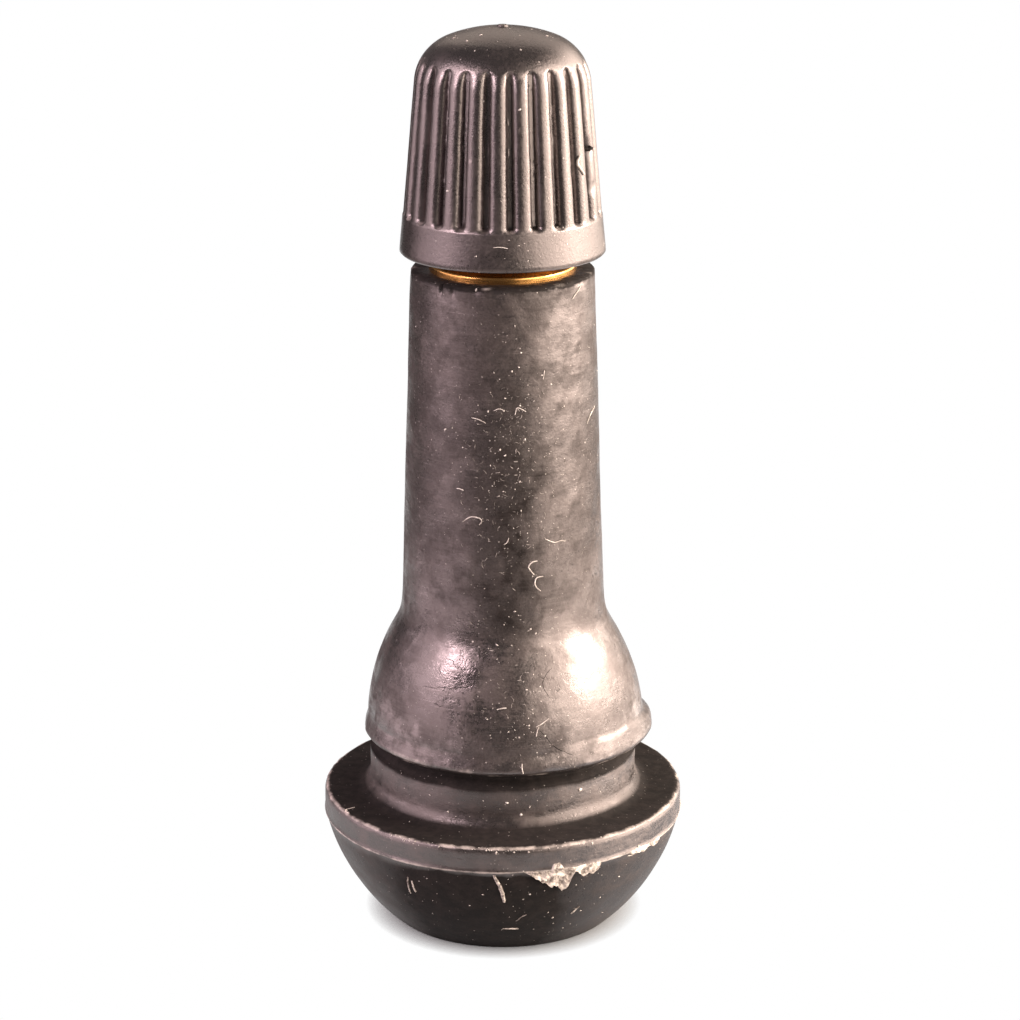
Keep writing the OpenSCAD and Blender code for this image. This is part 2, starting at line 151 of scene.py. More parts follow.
@dataclass
class Outline:
    """Half of a turned section, drawn point by point in radius and height.

    Attributes:
        points: Points as radius and height.
        COPIES: Wedges of a whole turn, a power of two.
    """

    points: list[Vector] = field(default_factory=list)
    COPIES: ClassVar[int] = 8

    def start(self, r: float, z: float) -> "Outline":
        """Puts down the first point."""
        self.points.append(Vector((r, z)))
        return self

    def line(self, r: float, z: float, step: float) -> "Outline":
        """Draws a straight line in steps.

        Args:
            r: Radius of its end.
            z: Height of its end.
            step: Longest step.

        Returns:
            The outline, to draw on.
        """
        begin, end = self.points[-1], Vector((r, z))
        count = max(1, math.ceil((end - begin).length / step - 1e-6))
        self.points += [begin.lerp(end, i / count) for i in range(1, count + 1)]
        return self

    def bow(self, r: float, z: float, sag: float, step: float) -> "Outline":
        """Draws an arc that bulges to the right of the way to its end.

        Args:
            r: Radius of its end.
            z: Height of its end.
            sag: How far it bulges from the straight line.
            step: Longest step.

        Returns:
            The outline, to draw on.
        """
        begin, end = self.points[-1], Vector((r, z))
        half = (end - begin).length / 2
        way = (end - begin).normalized()
        side = Vector((way.y, -way.x))
        radius = (half * half + sag * sag) / (2 * sag)
        centre = (begin + end) / 2 + side * (sag - radius)
        spread = math.asin(half / radius)
        count = max(2, math.ceil(2 * spread * radius / step))
        for i in range(1, count + 1):
            a = spread * (2 * i / count - 1)
            self.points.append(centre + radius * (side * math.cos(a) + way * math.sin(a)))
        return self

    def arc(self, centre: Vector, radius: float, begin: float, end: float, step: float) -> "Outline":
        """Draws an arc about a centre.

        Args:
            centre: Its centre.
            radius: Its radius.
            begin: Angle of its first point in degrees.
            end: Angle of its last point in degrees.
            step: Longest step.

        Returns:
            The outline, to draw on.
        """
        count = max(2, math.ceil(math.radians(abs(end - begin)) * radius / step))
        for i in range(count + 1):
            a = math.radians(begin + (end - begin) * i / count)
            self.points.append(centre + radius * Vector((math.cos(a), math.sin(a))))
        return self

    def soften(self, z: float, reach: float, passes: int) -> "Outline":
        """Rounds off the corners about a height.

        Args:
            z: The height.
            reach: How far above and below it the points are eased.
            passes: How often each point moves towards its neighbours.

        Returns:
            The outline, to draw on.
        """
        for _ in range(passes):
            old = self.points[:]
            for i in range(1, len(old) - 1):
                if abs(old[i].y - z) < reach:
                    self.points[i] = (old[i - 1] + 2 * old[i] + old[i + 1]) / 4
        return self

    def turned(self, steps: int, bearing: float = 90.0, ring: bool = True) -> bmesh.types.BMesh:
        """Spins the outline once round the axis.

        Args:
            steps: Steps of the whole turn, a multiple of the copies.
            bearing: Bearing of the first step in degrees.
            ring: Whether the outline's end joins its start.

        Returns:
            A closed mesh with its faces outwards.
        """
        mesh = bmesh.new()
        verts = [mesh.verts.new(at_bearing(bearing, p.x, p.y)) for p in self.points]
        ends = verts[1:] + (verts[:1] if ring else [])
        edges = [mesh.edges.new(pair) for pair in zip(verts, ends)]
        wedge = math.tau / self.COPIES
        bmesh.ops.spin(
            mesh, geom=verts + edges, cent=(0, 0, 0), axis=(0, 0, 1), angle=wedge,
            steps=steps // self.COPIES,
        )
        while wedge < math.tau * 0.9:
            whole = mesh.verts[:] + mesh.edges[:] + mesh.faces[:]
            copy = bmesh.ops.duplicate(mesh, geom=whole)["geom"]
            moved = [g for g in copy if isinstance(g, bmesh.types.BMVert)]
            turn = Matrix.Rotation(wedge, 3, "Z")
            bmesh.ops.rotate(mesh, verts=moved, cent=(0, 0, 0), matrix=turn)
            wedge *= 2
        bmesh.ops.remove_doubles(mesh, verts=mesh.verts, dist=MERGE)
        bmesh.ops.recalc_face_normals(mesh, faces=mesh.faces)
        return mesh


@dataclass(frozen=True)
class Thread:
    """A right-handed screw thread that is raised on a turned surface.

    Attributes:
        pitch: Rise in one turn.
        root: Radius of its root.
        crest: Radius of its crest.
        flat: Share of the pitch that each flat of crest and root takes.
    """

    pitch: float
    root: float
    crest: float
    flat: float = 0.16

    def radius(self, place: Vector) -> float:
        """Radius of the thread at a point's height and bearing."""
        phase = (place.z / self.pitch - math.atan2(place.y, place.x) / math.tau) % 1.0
        rise = (1 - abs(2 * phase - 1) - self.flat) / (1 - 2 * self.flat)
        return self.root + (self.crest - self.root) * min(max(rise, 0.0), 1.0)


def pour(source: bmesh.types.BMesh, into: bmesh.types.BMesh) -> None:
    """Adds one mesh to another.

    Args:
        source: Mesh that is added, and freed.
        into: Mesh that takes it.
    """
    carrier = bpy.data.meshes.new("carrier")
    source.to_mesh(carrier)
    source.free()
    into.from_mesh(carrier)
    bpy.data.meshes.remove(carrier)


def finish_mesh(mesh: bmesh.types.BMesh, name: str, sharp: float = 40.0) -> bpy.types.Object:
    """Makes an object of a mesh, with smooth faces between sharp edges.

    Args:
        mesh: The mesh, which is used up.
        name: Name of the piece.
        sharp: Angle in degrees past which an edge stays sharp.

    Returns:
        The new object, at the origin.
    """
    data = bpy.data.meshes.new(name)
    mesh.to_mesh(data)
    mesh.free()
    data.shade_smooth()
    data.set_sharp_from_angle(angle=math.radians(sharp))
    piece = bpy.data.objects.new(name, data)
    bpy.context.scene.collection.objects.link(piece)
    return piece


# Shaders


class Value:
    """A number in a shader. Python's operators on it add Math nodes."""

    def __init__(self, shader: "Shader", socket: bpy.types.NodeSocket) -> None:
        """Wraps an output socket of a shader."""
        self.shader = shader
        self.socket = socket

    def math(self, operation: str, *operands: "Value | float") -> "Value":
        """Adds one Math node on the operands, given in order."""
        made = self.shader.node("ShaderNodeMath", {"operation": operation}, dict(enumerate(operands)))
        return Value(self.shader, made.outputs[0])

    def __add__(self, other: "Value | float") -> "Value":
        """Sum."""
        return self.math("ADD", self, other)

    __radd__ = __add__

    def __sub__(self, other: "Value | float") -> "Value":
        """Difference."""
        return self.math("SUBTRACT", self, other)

    def __rsub__(self, other: float) -> "Value":
        """Difference from a number."""
        return self.math("SUBTRACT", other, self)

    def __mul__(self, other: "Value | float") -> "Value":
        """Product."""
        return self.math("MULTIPLY", self, other)

    __rmul__ = __mul__

    def __abs__(self) -> "Value":
        """Size without its sign."""
        return self.math("ABSOLUTE", self)

    def most(self, other: "Value | float") -> "Value":
        """The larger of two values."""
        return self.math("MAXIMUM", self, other)

    def least(self, other: "Value | float") -> "Value":
        """The smaller of two values."""
        return self.math("MINIMUM", self, other)

    def rise(self, low: float, high: float) -> "Value":
        """Rises smoothly from 0 at low to 1 at high, and falls if low is the larger."""
        made = self.shader.node(
            "ShaderNodeMapRange",
            {"interpolation_type": "SMOOTHSTEP"},
            {"Value": self, "From Min": low, "From Max": high, "To Min": 0.0, "To Max": 1.0},
        )
        return Value(self.shader, made.outputs["Result"])


class Shader:
    """The node tree of one material or world."""

    def __init__(self, owner: bpy.types.Material | bpy.types.World) -> None:
        """Empties the owner's node tree."""
        owner.use_nodes = True
        self.tree = owner.node_tree
        self.tree.nodes.clear()

    def node(
        self,
        kind: str,
        settings: Mapping[str, Any] | None = None,
        inputs: Mapping[Any, Any] | None = None,
    ) -> bpy.types.Node:
        """Adds a node.

        Args:
            kind: Type of the node.
            settings: Its settings, such as a Math node's operation.
            inputs: Values or links of its sockets, by name or number.

        Returns:
            The new node.
        """
        made = self.tree.nodes.new(kind)
        for name, value in (settings or {}).items():
            setattr(made, name, value)
        for name, value in (inputs or {}).items():
            source = value.socket if isinstance(value, Value) else value
            if isinstance(source, bpy.types.NodeSocket):
                self.tree.links.new(source, made.inputs[name])
            else:
                made.inputs[name].default_value = source
        return made

    def place(self, stretch: tuple[float, float, float] = (1.0, 1.0, 1.0)) -> bpy.types.NodeSocket:
        """Object coordinates in millimetres.

        Args:
            stretch: Factors along the axes, where a larger one makes a pattern finer.

        Returns:
            The vector's socket.
        """
        where = self.node("ShaderNodeTexCoord").outputs["Object"]
        scale = tuple(s / MM for s in stretch)
        return self.node("ShaderNodeMapping", None, {"Vector": where, "Scale": scale}).outputs[0]

    def along(self, axis: str) -> Value:
        """Distance from the origin along an axis, X, Y or Z, in millimetres."""
        return Value(self, self.node("ShaderNodeSeparateXYZ", None, {0: self.place()}).outputs[axis])

    def cloud(
        self, place: bpy.types.NodeSocket, scale: float, detail: float = 3.0, coarse: float = 0.55
    ) -> Value:
        """Noise between 0 and 1.

        Args:
            place: Coordinates.
            scale: Its scale.
            detail: How many finer layers it has.
            coarse: How strong the finer layers are.

        Returns:
            The value.
        """
        made = self.node(
            "ShaderNodeTexNoise", None,
            {"Vector": place, "Scale": scale, "Detail": detail, "Roughness": coarse},
        )
        return Value(self, made.outputs[0])

    def specks(self, place: bpy.types.NodeSocket, scale: float, share: float, size: float) -> Value:
        """Scattered spots of uneven size.

        Args:
            place: Coordinates.
            scale: Cells in a unit of the coordinates.
            share: Share of the cells that hold a spot.
            size: Radius of the largest spot in cells.

        Returns:
            1 inside the spots and 0 outside.
        """
        cells = self.node("ShaderNodeTexVoronoi", None, {"Vector": place, "Scale": scale})
        parts = self.node("ShaderNodeSeparateColor", None, {0: cells.outputs["Color"]})
        chance = Value(self, parts.outputs[0])
        chosen = chance.math("LESS_THAN", chance, share)
        reach = Value(self, parts.outputs[1]) * (size * 0.7) + size * 0.3
        inside = (reach - Value(self, cells.outputs["Distance"])).rise(0.0, size * 0.25)
        return inside * chosen

    def crazing(self, place: bpy.types.NodeSocket, scale: float, width: float) -> Value:
        """A net of fine cracks.

        Args:
            place: Coordinates.
            scale: Fields between the cracks in a unit of the coordinates.
            width: Width of a crack in fields.

        Returns:
            1 in the cracks and 0 between them.
        """
        warp = self.node(
            "ShaderNodeTexNoise", None, {"Vector": place, "Scale": scale * 1.6, "Detail": 4.0}
        )
        bent = self.node(
            "ShaderNodeVectorMath", {"operation": "MULTIPLY_ADD"},
            {0: warp.outputs["Color"], 1: (0.9 / scale,) * 3, 2: place},
        )
        cells = self.node(
            "ShaderNodeTexVoronoi", {"feature": "DISTANCE_TO_EDGE"},
            {"Vector": bent.outputs[0], "Scale": scale},
        )
        return Value(self, cells.outputs["Distance"]).rise(width, 0.0)

    def near(self, place: bpy.types.NodeSocket, spot: Vector, reach: float) -> Value:
        """1 at a spot, falling to 0 at a distance from it, both in metres."""
        middle = tuple(c / MM for c in spot)
        gap = self.node("ShaderNodeVectorMath", {"operation": "DISTANCE"}, {0: place, 1: middle})
        return Value(self, gap.outputs["Value"]).rise(reach / MM, 0.0)

    def spots(self, middles: Sequence[Vector], reach: float) -> Value:
        """1 at each of the middles, falling to 0 at the reach, all in metres."""
        place = self.place()
        found = self.near(place, middles[0], reach)
        for middle in middles[1:]:
            found = found.most(self.near(place, middle, reach))
        return found

    def attribute(self, name: str) -> Value:
        """A number that is stored on the mesh's points."""
        return Value(self, self.node("ShaderNodeAttribute", {"attribute_name": name}).outputs["Fac"])

    def mix(self, factor: Value | float, first: Any, second: Any) -> bpy.types.NodeSocket:
        """Blends two colours.

        Args:
            factor: Share of the second.
            first: First colour or its socket.
            second: Second colour or its socket.

        Returns:
            The blend's socket.
        """
        made = self.node("ShaderNodeMix", {"data_type": "RGBA"}, {0: factor, 6: first, 7: second})
        return made.outputs[2]

    def bump(self, height: Value) -> bpy.types.NodeSocket:
        """Surface normal of a relief whose height is in millimetres."""
        made = self.node("ShaderNodeBump", None, {"Strength": 1.0, "Distance": MM, "Height": height})
        return made.outputs[0]

    def principled(self, inputs: Mapping[str, Any]) -> bpy.types.NodeSocket:
        """A Principled surface with those inputs."""
        return self.node("ShaderNodeBsdfPrincipled", None, inputs).outputs[0]

    def blend(
        self, share: Value, first: bpy.types.NodeSocket, second: bpy.types.NodeSocket
    ) -> bpy.types.NodeSocket:
        """Blends two surfaces.

        Args:
            share: Share of the second.
            first: First surface.
            second: Second surface.

        Returns:
            The blend's socket.
        """
        return self.node("ShaderNodeMixShader", None, {0: share, 1: first, 2: second}).outputs[0]

    def end(self, surface: bpy.types.NodeSocket) -> None:
        """Ends a material in a surface."""
        self.node("ShaderNodeOutputMaterial", None, {"Surface": surface})


# Finishes


@dataclass(frozen=True)
class Finish:
    """A finish, which makes its own material.

    Attributes:
        name: Name of the material.
    """

    name: str

    def shade(self, shader: Shader) -> bpy.types.NodeSocket:
        """Draws the finish in an empty node tree, up to its surface."""
        raise NotImplementedError

    def material(self) -> bpy.types.Material:
        """Makes the material."""
        made = bpy.data.materials.new(self.name)
        shader = Shader(made)
        shader.end(self.shade(shader))
        return made

    def dress(self, piece: bpy.types.Object) -> None:
        """Gives a piece this finish all over."""
        made = self.material()
        if not piece.material_slots:
            piece.data.materials.append(made)
        for place in piece.material_slots:
            place.material = made


@dataclass(frozen=True)
class MouldedRubber(Finish):
    """Satin black rubber with a dull film, fine streaks round it, dust, wrinkled spots, pale scuffs with
    painted highlights, and dull painted shade.

    Attributes:
        polished: Middles of the polished spots.
        wrinkled: Middles of the wrinkled spots.
        dusty: Middles of the dusty spots.
        black: Clean rubber.
        film: Dull film on it.
        painted_shade: Dull colour of the painted shade in recesses, on the flange top and base and down
            the sleeve's front; it also darkens the cracks.
        scuff_and_highlight: Pale, ripped and scuffed rubber, and the painted highlights along the
            flange's edges, the bell's rim and the lip.
        dust: Dust and fluff.
        smear: Smeared dust.
        gloss: Roughness of clean rubber.
        shine: Strength of its reflections.
        index: Index of refraction of its waxy skin.
        tint: Tint of its reflections.
        polish_reach: How far a polished spot reaches.
        wrinkle_reach: How far a wrinkled spot reaches.
        dust_reach: How far a dusty spot reaches.
        neck_z: Heights in millimetres between which the even dulling of flange and neck gives way to
            patches.
        neck_dulling: Share of the dull, darker surface laid evenly over flange and neck.
    """

    polished: tuple[Vector, ...]
    wrinkled: tuple[Vector, ...]
    dusty: tuple[Vector, ...]
    black: Colour = (0.0143, 0.0117, 0.0112, 1.0)
    film: Colour = (0.068, 0.0535, 0.0490, 1.0)
    painted_shade: Colour = (0.0156, 0.0130, 0.0122, 1.0)
    scuff_and_highlight: Colour = (0.62, 0.55, 0.50, 1.0)
    dust: Colour = (0.80, 0.74, 0.68, 1.0)
    smear: Colour = (0.14, 0.122, 0.11, 1.0)
    gloss: float = 0.29
    shine: float = 0.84
    index: float = 2.0
    tint: Colour = (1.0, 0.89, 0.87, 1.0)
    polish_reach: float = 4.2 * MM
    wrinkle_reach: float = 2.4 * MM
    dust_reach: float = 7.5 * MM
    neck_z: tuple[float, float] = (9.5, 11.0)
    neck_dulling: float = 0.34

    def shade(self, shader: Shader) -> bpy.types.NodeSocket:
        """Draws the rubber."""
        place = shader.place()
        patches = shader.cloud(place, 0.30, 4.0, 0.66).rise(0.38, 0.66)
        mottle = shader.cloud(place, 0.58, 5.0, 0.64).rise(0.42, 0.60)
        blotches = shader.cloud(place, 1.4, 4.0, 0.68).rise(0.36, 0.66)
        streaks = shader.cloud(shader.place((0.45, 0.45, 5.0)), 1.0, 4.0, 0.64)
        hairs = shader.cloud(shader.place((0.5, 0.5, 19.0)), 1.0, 3.0, 0.6).rise(0.60, 0.70)
        grain = shader.cloud(place, 9.0, 3.0, 0.62)
        # Pale scuffs, partly painted highlights along the flange's edges, the bell's rim and the lip
        wear_and_highlight = (shader.attribute("wear_and_highlight") * (0.45 + shader.cloud(place, 3.2, 4.0) * 1.2)).rise(0.35, 1.0)
        # Painted shade: share of a dull, dark surface in recesses, on the flange top and base, and down
        # the sleeve's front
        painted_shade_share = shader.attribute("painted_shade") * (0.85 + patches * 0.15)
        dusty = shader.spots(self.dusty, self.dust_reach)
        dashes = shader.specks(shader.place((0.8, 0.8, 2.6)), 2.0, 0.22, 0.2) * dusty
        fine_dust = shader.specks(place, 4.6, 0.34, 0.22) * (0.25 + dusty * 0.5)
        dust = shader.specks(place, 1.9, 0.10, 0.12).most(fine_dust).most(dashes * 0.6)
        smudge = shader.cloud(place, 0.85, 4.0, 0.7).rise(0.48, 0.70) * dusty
        film = patches * 0.4 + mottle * 0.35 + blotches * 0.3 + (streaks - 0.5) + (grain - 0.5) * 0.9
        film = film.rise(0.1, 1.0)
        wrinkles = shader.spots(self.wrinkled, self.wrinkle_reach)
        polish = shader.spots(self.polished, self.polish_reach)
        cracks = shader.crazing(place, 1.1, 0.035) * wrinkles.rise(0.2, 0.8) * blotches
        puckers = shader.cloud(place, 2.5, 5.0, 0.6) * wrinkles
        colour = shader.mix(film + hairs * 0.25, self.black, self.film)
        colour = shader.mix(smudge * 0.45, colour, self.smear)
        # Pale scuffs and painted highlights
        colour = shader.mix(wear_and_highlight * 0.8, colour, self.scuff_and_highlight)
        colour = shader.mix(cracks * 0.15, colour, self.painted_shade)
        colour = shader.mix(dust * 0.8, colour, self.dust)
        swells = shader.cloud(place, 0.42, 2.0, 0.5)
        relief = streaks * 0.006 + blotches * 0.008 + swells * 0.10 + grain * 0.008 + hairs * 0.002
        normal = shader.bump(relief + dust * 0.02 + puckers * 0.013 - cracks * 0.012)
        gloss = film * 0.22 + (grain - 0.5) * 0.14 + wear_and_highlight * 0.25 + dust * 0.3 - polish * 0.10 + self.gloss
        satin = shader.principled(
            {
                "Base Color": colour,
                "Roughness": gloss,
                "Specular IOR Level": self.shine,
                "IOR": self.index,
                "Specular Tint": self.tint,
                "Normal": normal,
            }
        )
        dull_colour = shader.mix(wear_and_highlight * 0.8, shader.mix(blotches * 0.2, self.painted_shade, self.film), self.scuff_and_highlight)
        dull = shader.principled(
            {
                "Base Color": shader.mix(dust * 0.7, dull_colour, self.dust),
                "Roughness": 0.8,
                "Specular IOR Level": 0.16,
                "Normal": normal,
            }
        )
        # The dull surface carries the painted shade, patchy dulling above the neck and even dulling of
        # flange and neck
        above = shader.along("Z").rise(*self.neck_z)
        dim = (mottle * 0.7 + blotches * 0.4 + streaks - 0.48) * 0.62 * (1.0 - polish)
        share = painted_shade_share + dim.most(0.0) * above + (1.0 - above) * self.neck_dulling
        return shader.blend(share.least(1.0), satin, dull)


@dataclass(frozen=True)
class CapPlastic(Finish):
    """Black moulded plastic with a fine grain, worn along the edges of the ribs, with painted highlights
    there, on the grooves' lower ends and on the shoulder.

    Attributes:
        black: Clean plastic.
        film: Dull film on it.
        rubbed_and_highlight: Worn rib edges, partly painted highlight, and painted highlights on the
            grooves' lower ends and the shoulder.
        dust: Dust.
        gloss: Roughness of clean plastic.
        shine: Strength of its reflections.
        index: Index of refraction of its waxy skin.
        tint: Tint of its reflections.
    """

    black: Colour = (0.0130, 0.0109, 0.0107, 1.0)
    film: Colour = (0.057, 0.0468, 0.0442, 1.0)
    rubbed_and_highlight: Colour = (0.46, 0.395, 0.37, 1.0)
    dust: Colour = (0.84, 0.78, 0.72, 1.0)
    gloss: float = 0.28
    shine: float = 0.76
    index: float = 2.0
    tint: Colour = (1.0, 0.89, 0.87, 1.0)

    def shade(self, shader: Shader) -> bpy.types.NodeSocket:
        """Draws the plastic."""
        place = shader.place()
        patches = shader.cloud(place, 0.45, 5.0, 0.6).rise(0.34, 0.68)
        grain = shader.cloud(place, 7.5, 4.0, 0.6)
        fine = shader.cloud(place, 19.0, 2.0)
        # Worn edges and painted highlights
        wear_and_highlight = (shader.attribute("wear_and_highlight") * (0.3 + shader.cloud(place, 4.0, 4.0) * 1.4)).rise(0.4, 1.1)
        dust = shader.specks(place, 1.4, 0.10, 0.13).most(shader.specks(place, 3.3, 0.12, 0.2) * 0.7)
        film = (patches * 0.7 + (grain - 0.5) * 1.5).rise(0.0, 1.1)
        colour = shader.mix(film, self.black, self.film)
        colour = shader.mix(wear_and_highlight * 0.8, colour, self.rubbed_and_highlight)
        colour = shader.mix(dust * 0.85, colour, self.dust)
        return shader.principled(
            {
                "Base Color": colour,
                "Roughness": film * 0.12 + (fine - 0.5) * 0.14 + dust * 0.3 + self.gloss,
                "Specular IOR Level": self.shine,
                "IOR": self.index,
                "Specular Tint": self.tint,
                "Normal": shader.bump(grain * 0.016 + fine * 0.005 + dust * 0.02),
            }
        )


@dataclass(frozen=True)
class TurnedBrass(Finish):
    """Brass with fine turning lines and a light tarnish.

    Attributes:
        bright: Clean brass.
        tarnish: Tarnished brass.
        gloss: Roughness of clean brass.
        tarnished: How far the tarnish goes.
    """

    bright: Colour = (0.88, 0.47, 0.15, 1.0)
    tarnish: Colour = (0.46, 0.19, 0.05, 1.0)
    gloss: float = 0.24
    tarnished: float = 0.5

    def shade(self, shader: Shader) -> bpy.types.NodeSocket:
        """Draws the brass."""
        place = shader.place()
        lines = shader.cloud(shader.place((0.25, 0.25, 16.0)), 1.0, 3.0, 0.6)
        dark_patch = shader.cloud(place, 0.7, 5.0, 0.6).rise(0.42, 0.75)
        tarnish = (dark_patch * 0.7 + (lines - 0.5) * 0.8).rise(0.0, 1.0) * self.tarnished
        return shader.principled(
            {
                "Base Color": shader.mix(tarnish, self.bright, self.tarnish),
                "Metallic": 1.0,
                "Roughness": tarnish * 0.2 + (lines - 0.5) * 0.12 + self.gloss,
                "Normal": shader.bump(lines * 0.006),
            }
        )


@dataclass(frozen=True)
class SoftSeal(Finish):
    """Moulded seal with a fine dull grain.

    Attributes:
        colour: Its colour.
        worn: Its colour where it is dull.
        gloss: Roughness.
    """

    colour: Colour = (0.03, 0.028, 0.028, 1.0)
    worn: Colour = (0.07, 0.065, 0.062, 1.0)
    gloss: float = 0.5

    def shade(self, shader: Shader) -> bpy.types.NodeSocket:
        """Draws the seal."""
        place = shader.place()
        patches = shader.cloud(place, 1.3, 4.0).rise(0.35, 0.7)
        grain = shader.cloud(place, 12.0, 3.0)
        return shader.principled(
            {
                "Base Color": shader.mix(patches, self.colour, self.worn),
                "Roughness": (grain - 0.5) * 0.2 + patches * 0.1 + self.gloss,
                "Normal": shader.bump(grain * 0.008),
            }
        )


@dataclass(frozen=True)
class Blotched(Finish):
    """A stuff whose two colours lie in blotches, by default pale dust and fluff.

    Attributes:
        first: Colour between the blotches.
        second: Colour of the blotches.
        scale: Scale of the blotches.
        detail: How many finer layers they have.
        edge: Where in the noise a blotch starts and where it is full.
        gloss: Roughness between the blotches.
        dulled: Roughness that the blotches add.
        relief: Height of the blotches in millimetres.
        metal: Share of metal.
        shine: Strength of its reflections.
    """

    first: Colour = (0.88, 0.82, 0.76, 1.0)
    second: Colour = (0.50, 0.45, 0.41, 1.0)
    scale: float = 2.0
    detail: float = 3.0
    edge: tuple[float, float] = (0.35, 0.65)
    gloss: float = 0.75
    dulled: float = 0.1
    relief: float = 0.01
    metal: float = 0.0
    shine: float = 0.5

    def shade(self, shader: Shader) -> bpy.types.NodeSocket:
        """Draws the blotches."""
        blotches = shader.cloud(shader.place(), self.scale, self.detail).rise(*self.edge)
        return shader.principled(
            {
                "Base Color": shader.mix(blotches, self.first, self.second),
                "Metallic": self.metal,
                "Roughness": blotches * self.dulled + self.gloss,
                "Specular IOR Level": self.shine,
                "Normal": shader.bump(blotches * self.relief),
            }
        )


@dataclass(frozen=True)
class SpringSteel(Blotched):
    """Drawn steel wire, dull under oil and dust in places."""

    first: Colour = (0.62, 0.61, 0.59, 1.0)
    second: Colour = (0.34, 0.32, 0.30, 1.0)
    scale: float = 2.4
    detail: float = 4.0
    edge: tuple[float, float] = (0.4, 0.7)
    gloss: float = 0.22
    dulled: float = 0.2
    relief: float = 0.004
    metal: float = 1.0


@dataclass(frozen=True)
class CrackShade(Blotched):
    """The dark of a crack, with its crumbled edge, also the painted shade in the cap's hole."""

    first: Colour = (0.013, 0.011, 0.0104, 1.0)
    second: Colour = (0.18, 0.15, 0.135, 1.0)
    scale: float = 4.0
    edge: tuple[float, float] = (0.5, 0.75)
    gloss: float = 0.85
    relief: float = 0.0
    shine: float = 0.26


@dataclass(frozen=True)
class TornRubber(Finish):
    """Torn rubber, chalky and crumpled.

    Attributes:
        chalk: Its light colour.
        core: Its dark colour.
    """

    chalk: Colour = (0.88, 0.79, 0.71, 1.0)
    core: Colour = (0.22, 0.185, 0.163, 1.0)

    def shade(self, shader: Shader) -> bpy.types.NodeSocket:
        """Draws the torn rubber."""
        crumbs = shader.cloud(shader.place(), 2.6, 5.0, 0.65)
        return shader.principled(
            {
                "Base Color": shader.mix(crumbs.rise(0.42, 0.62), self.chalk, self.core),
                "Roughness": crumbs * 0.2 + 0.55,
                "Normal": shader.bump(crumbs * 0.12),
            }
        )


# The valve


class Skinned(Protocol):
    """A piece whose outer skin can be looked up."""

    def on_skin(self, bearing: float, z: float) -> Vector:
        """Point of the skin at a bearing and a height."""


def seat_on(skin: Skinned, bearing: float, z: float) -> Matrix:
    """Frame that lies on a skin.

    Args:
        skin: Piece with the skin.
        bearing: Bearing in degrees.
        z: Height.

    Returns:
        The frame: sideways, upwards along the skin and away from it.
    """
    turn, rise = 1.0, 0.08 * MM
    middle = skin.on_skin(bearing, z)
    side = (skin.on_skin(bearing + turn, z) - middle).normalized()
    up = (skin.on_skin(bearing, z + rise) - middle).normalized()
    away = side.cross(up).normalized()
    frame_axes = Matrix((side, away.cross(side), away)).transposed().to_4x4()
    frame_axes.translation = middle
    return frame_axes


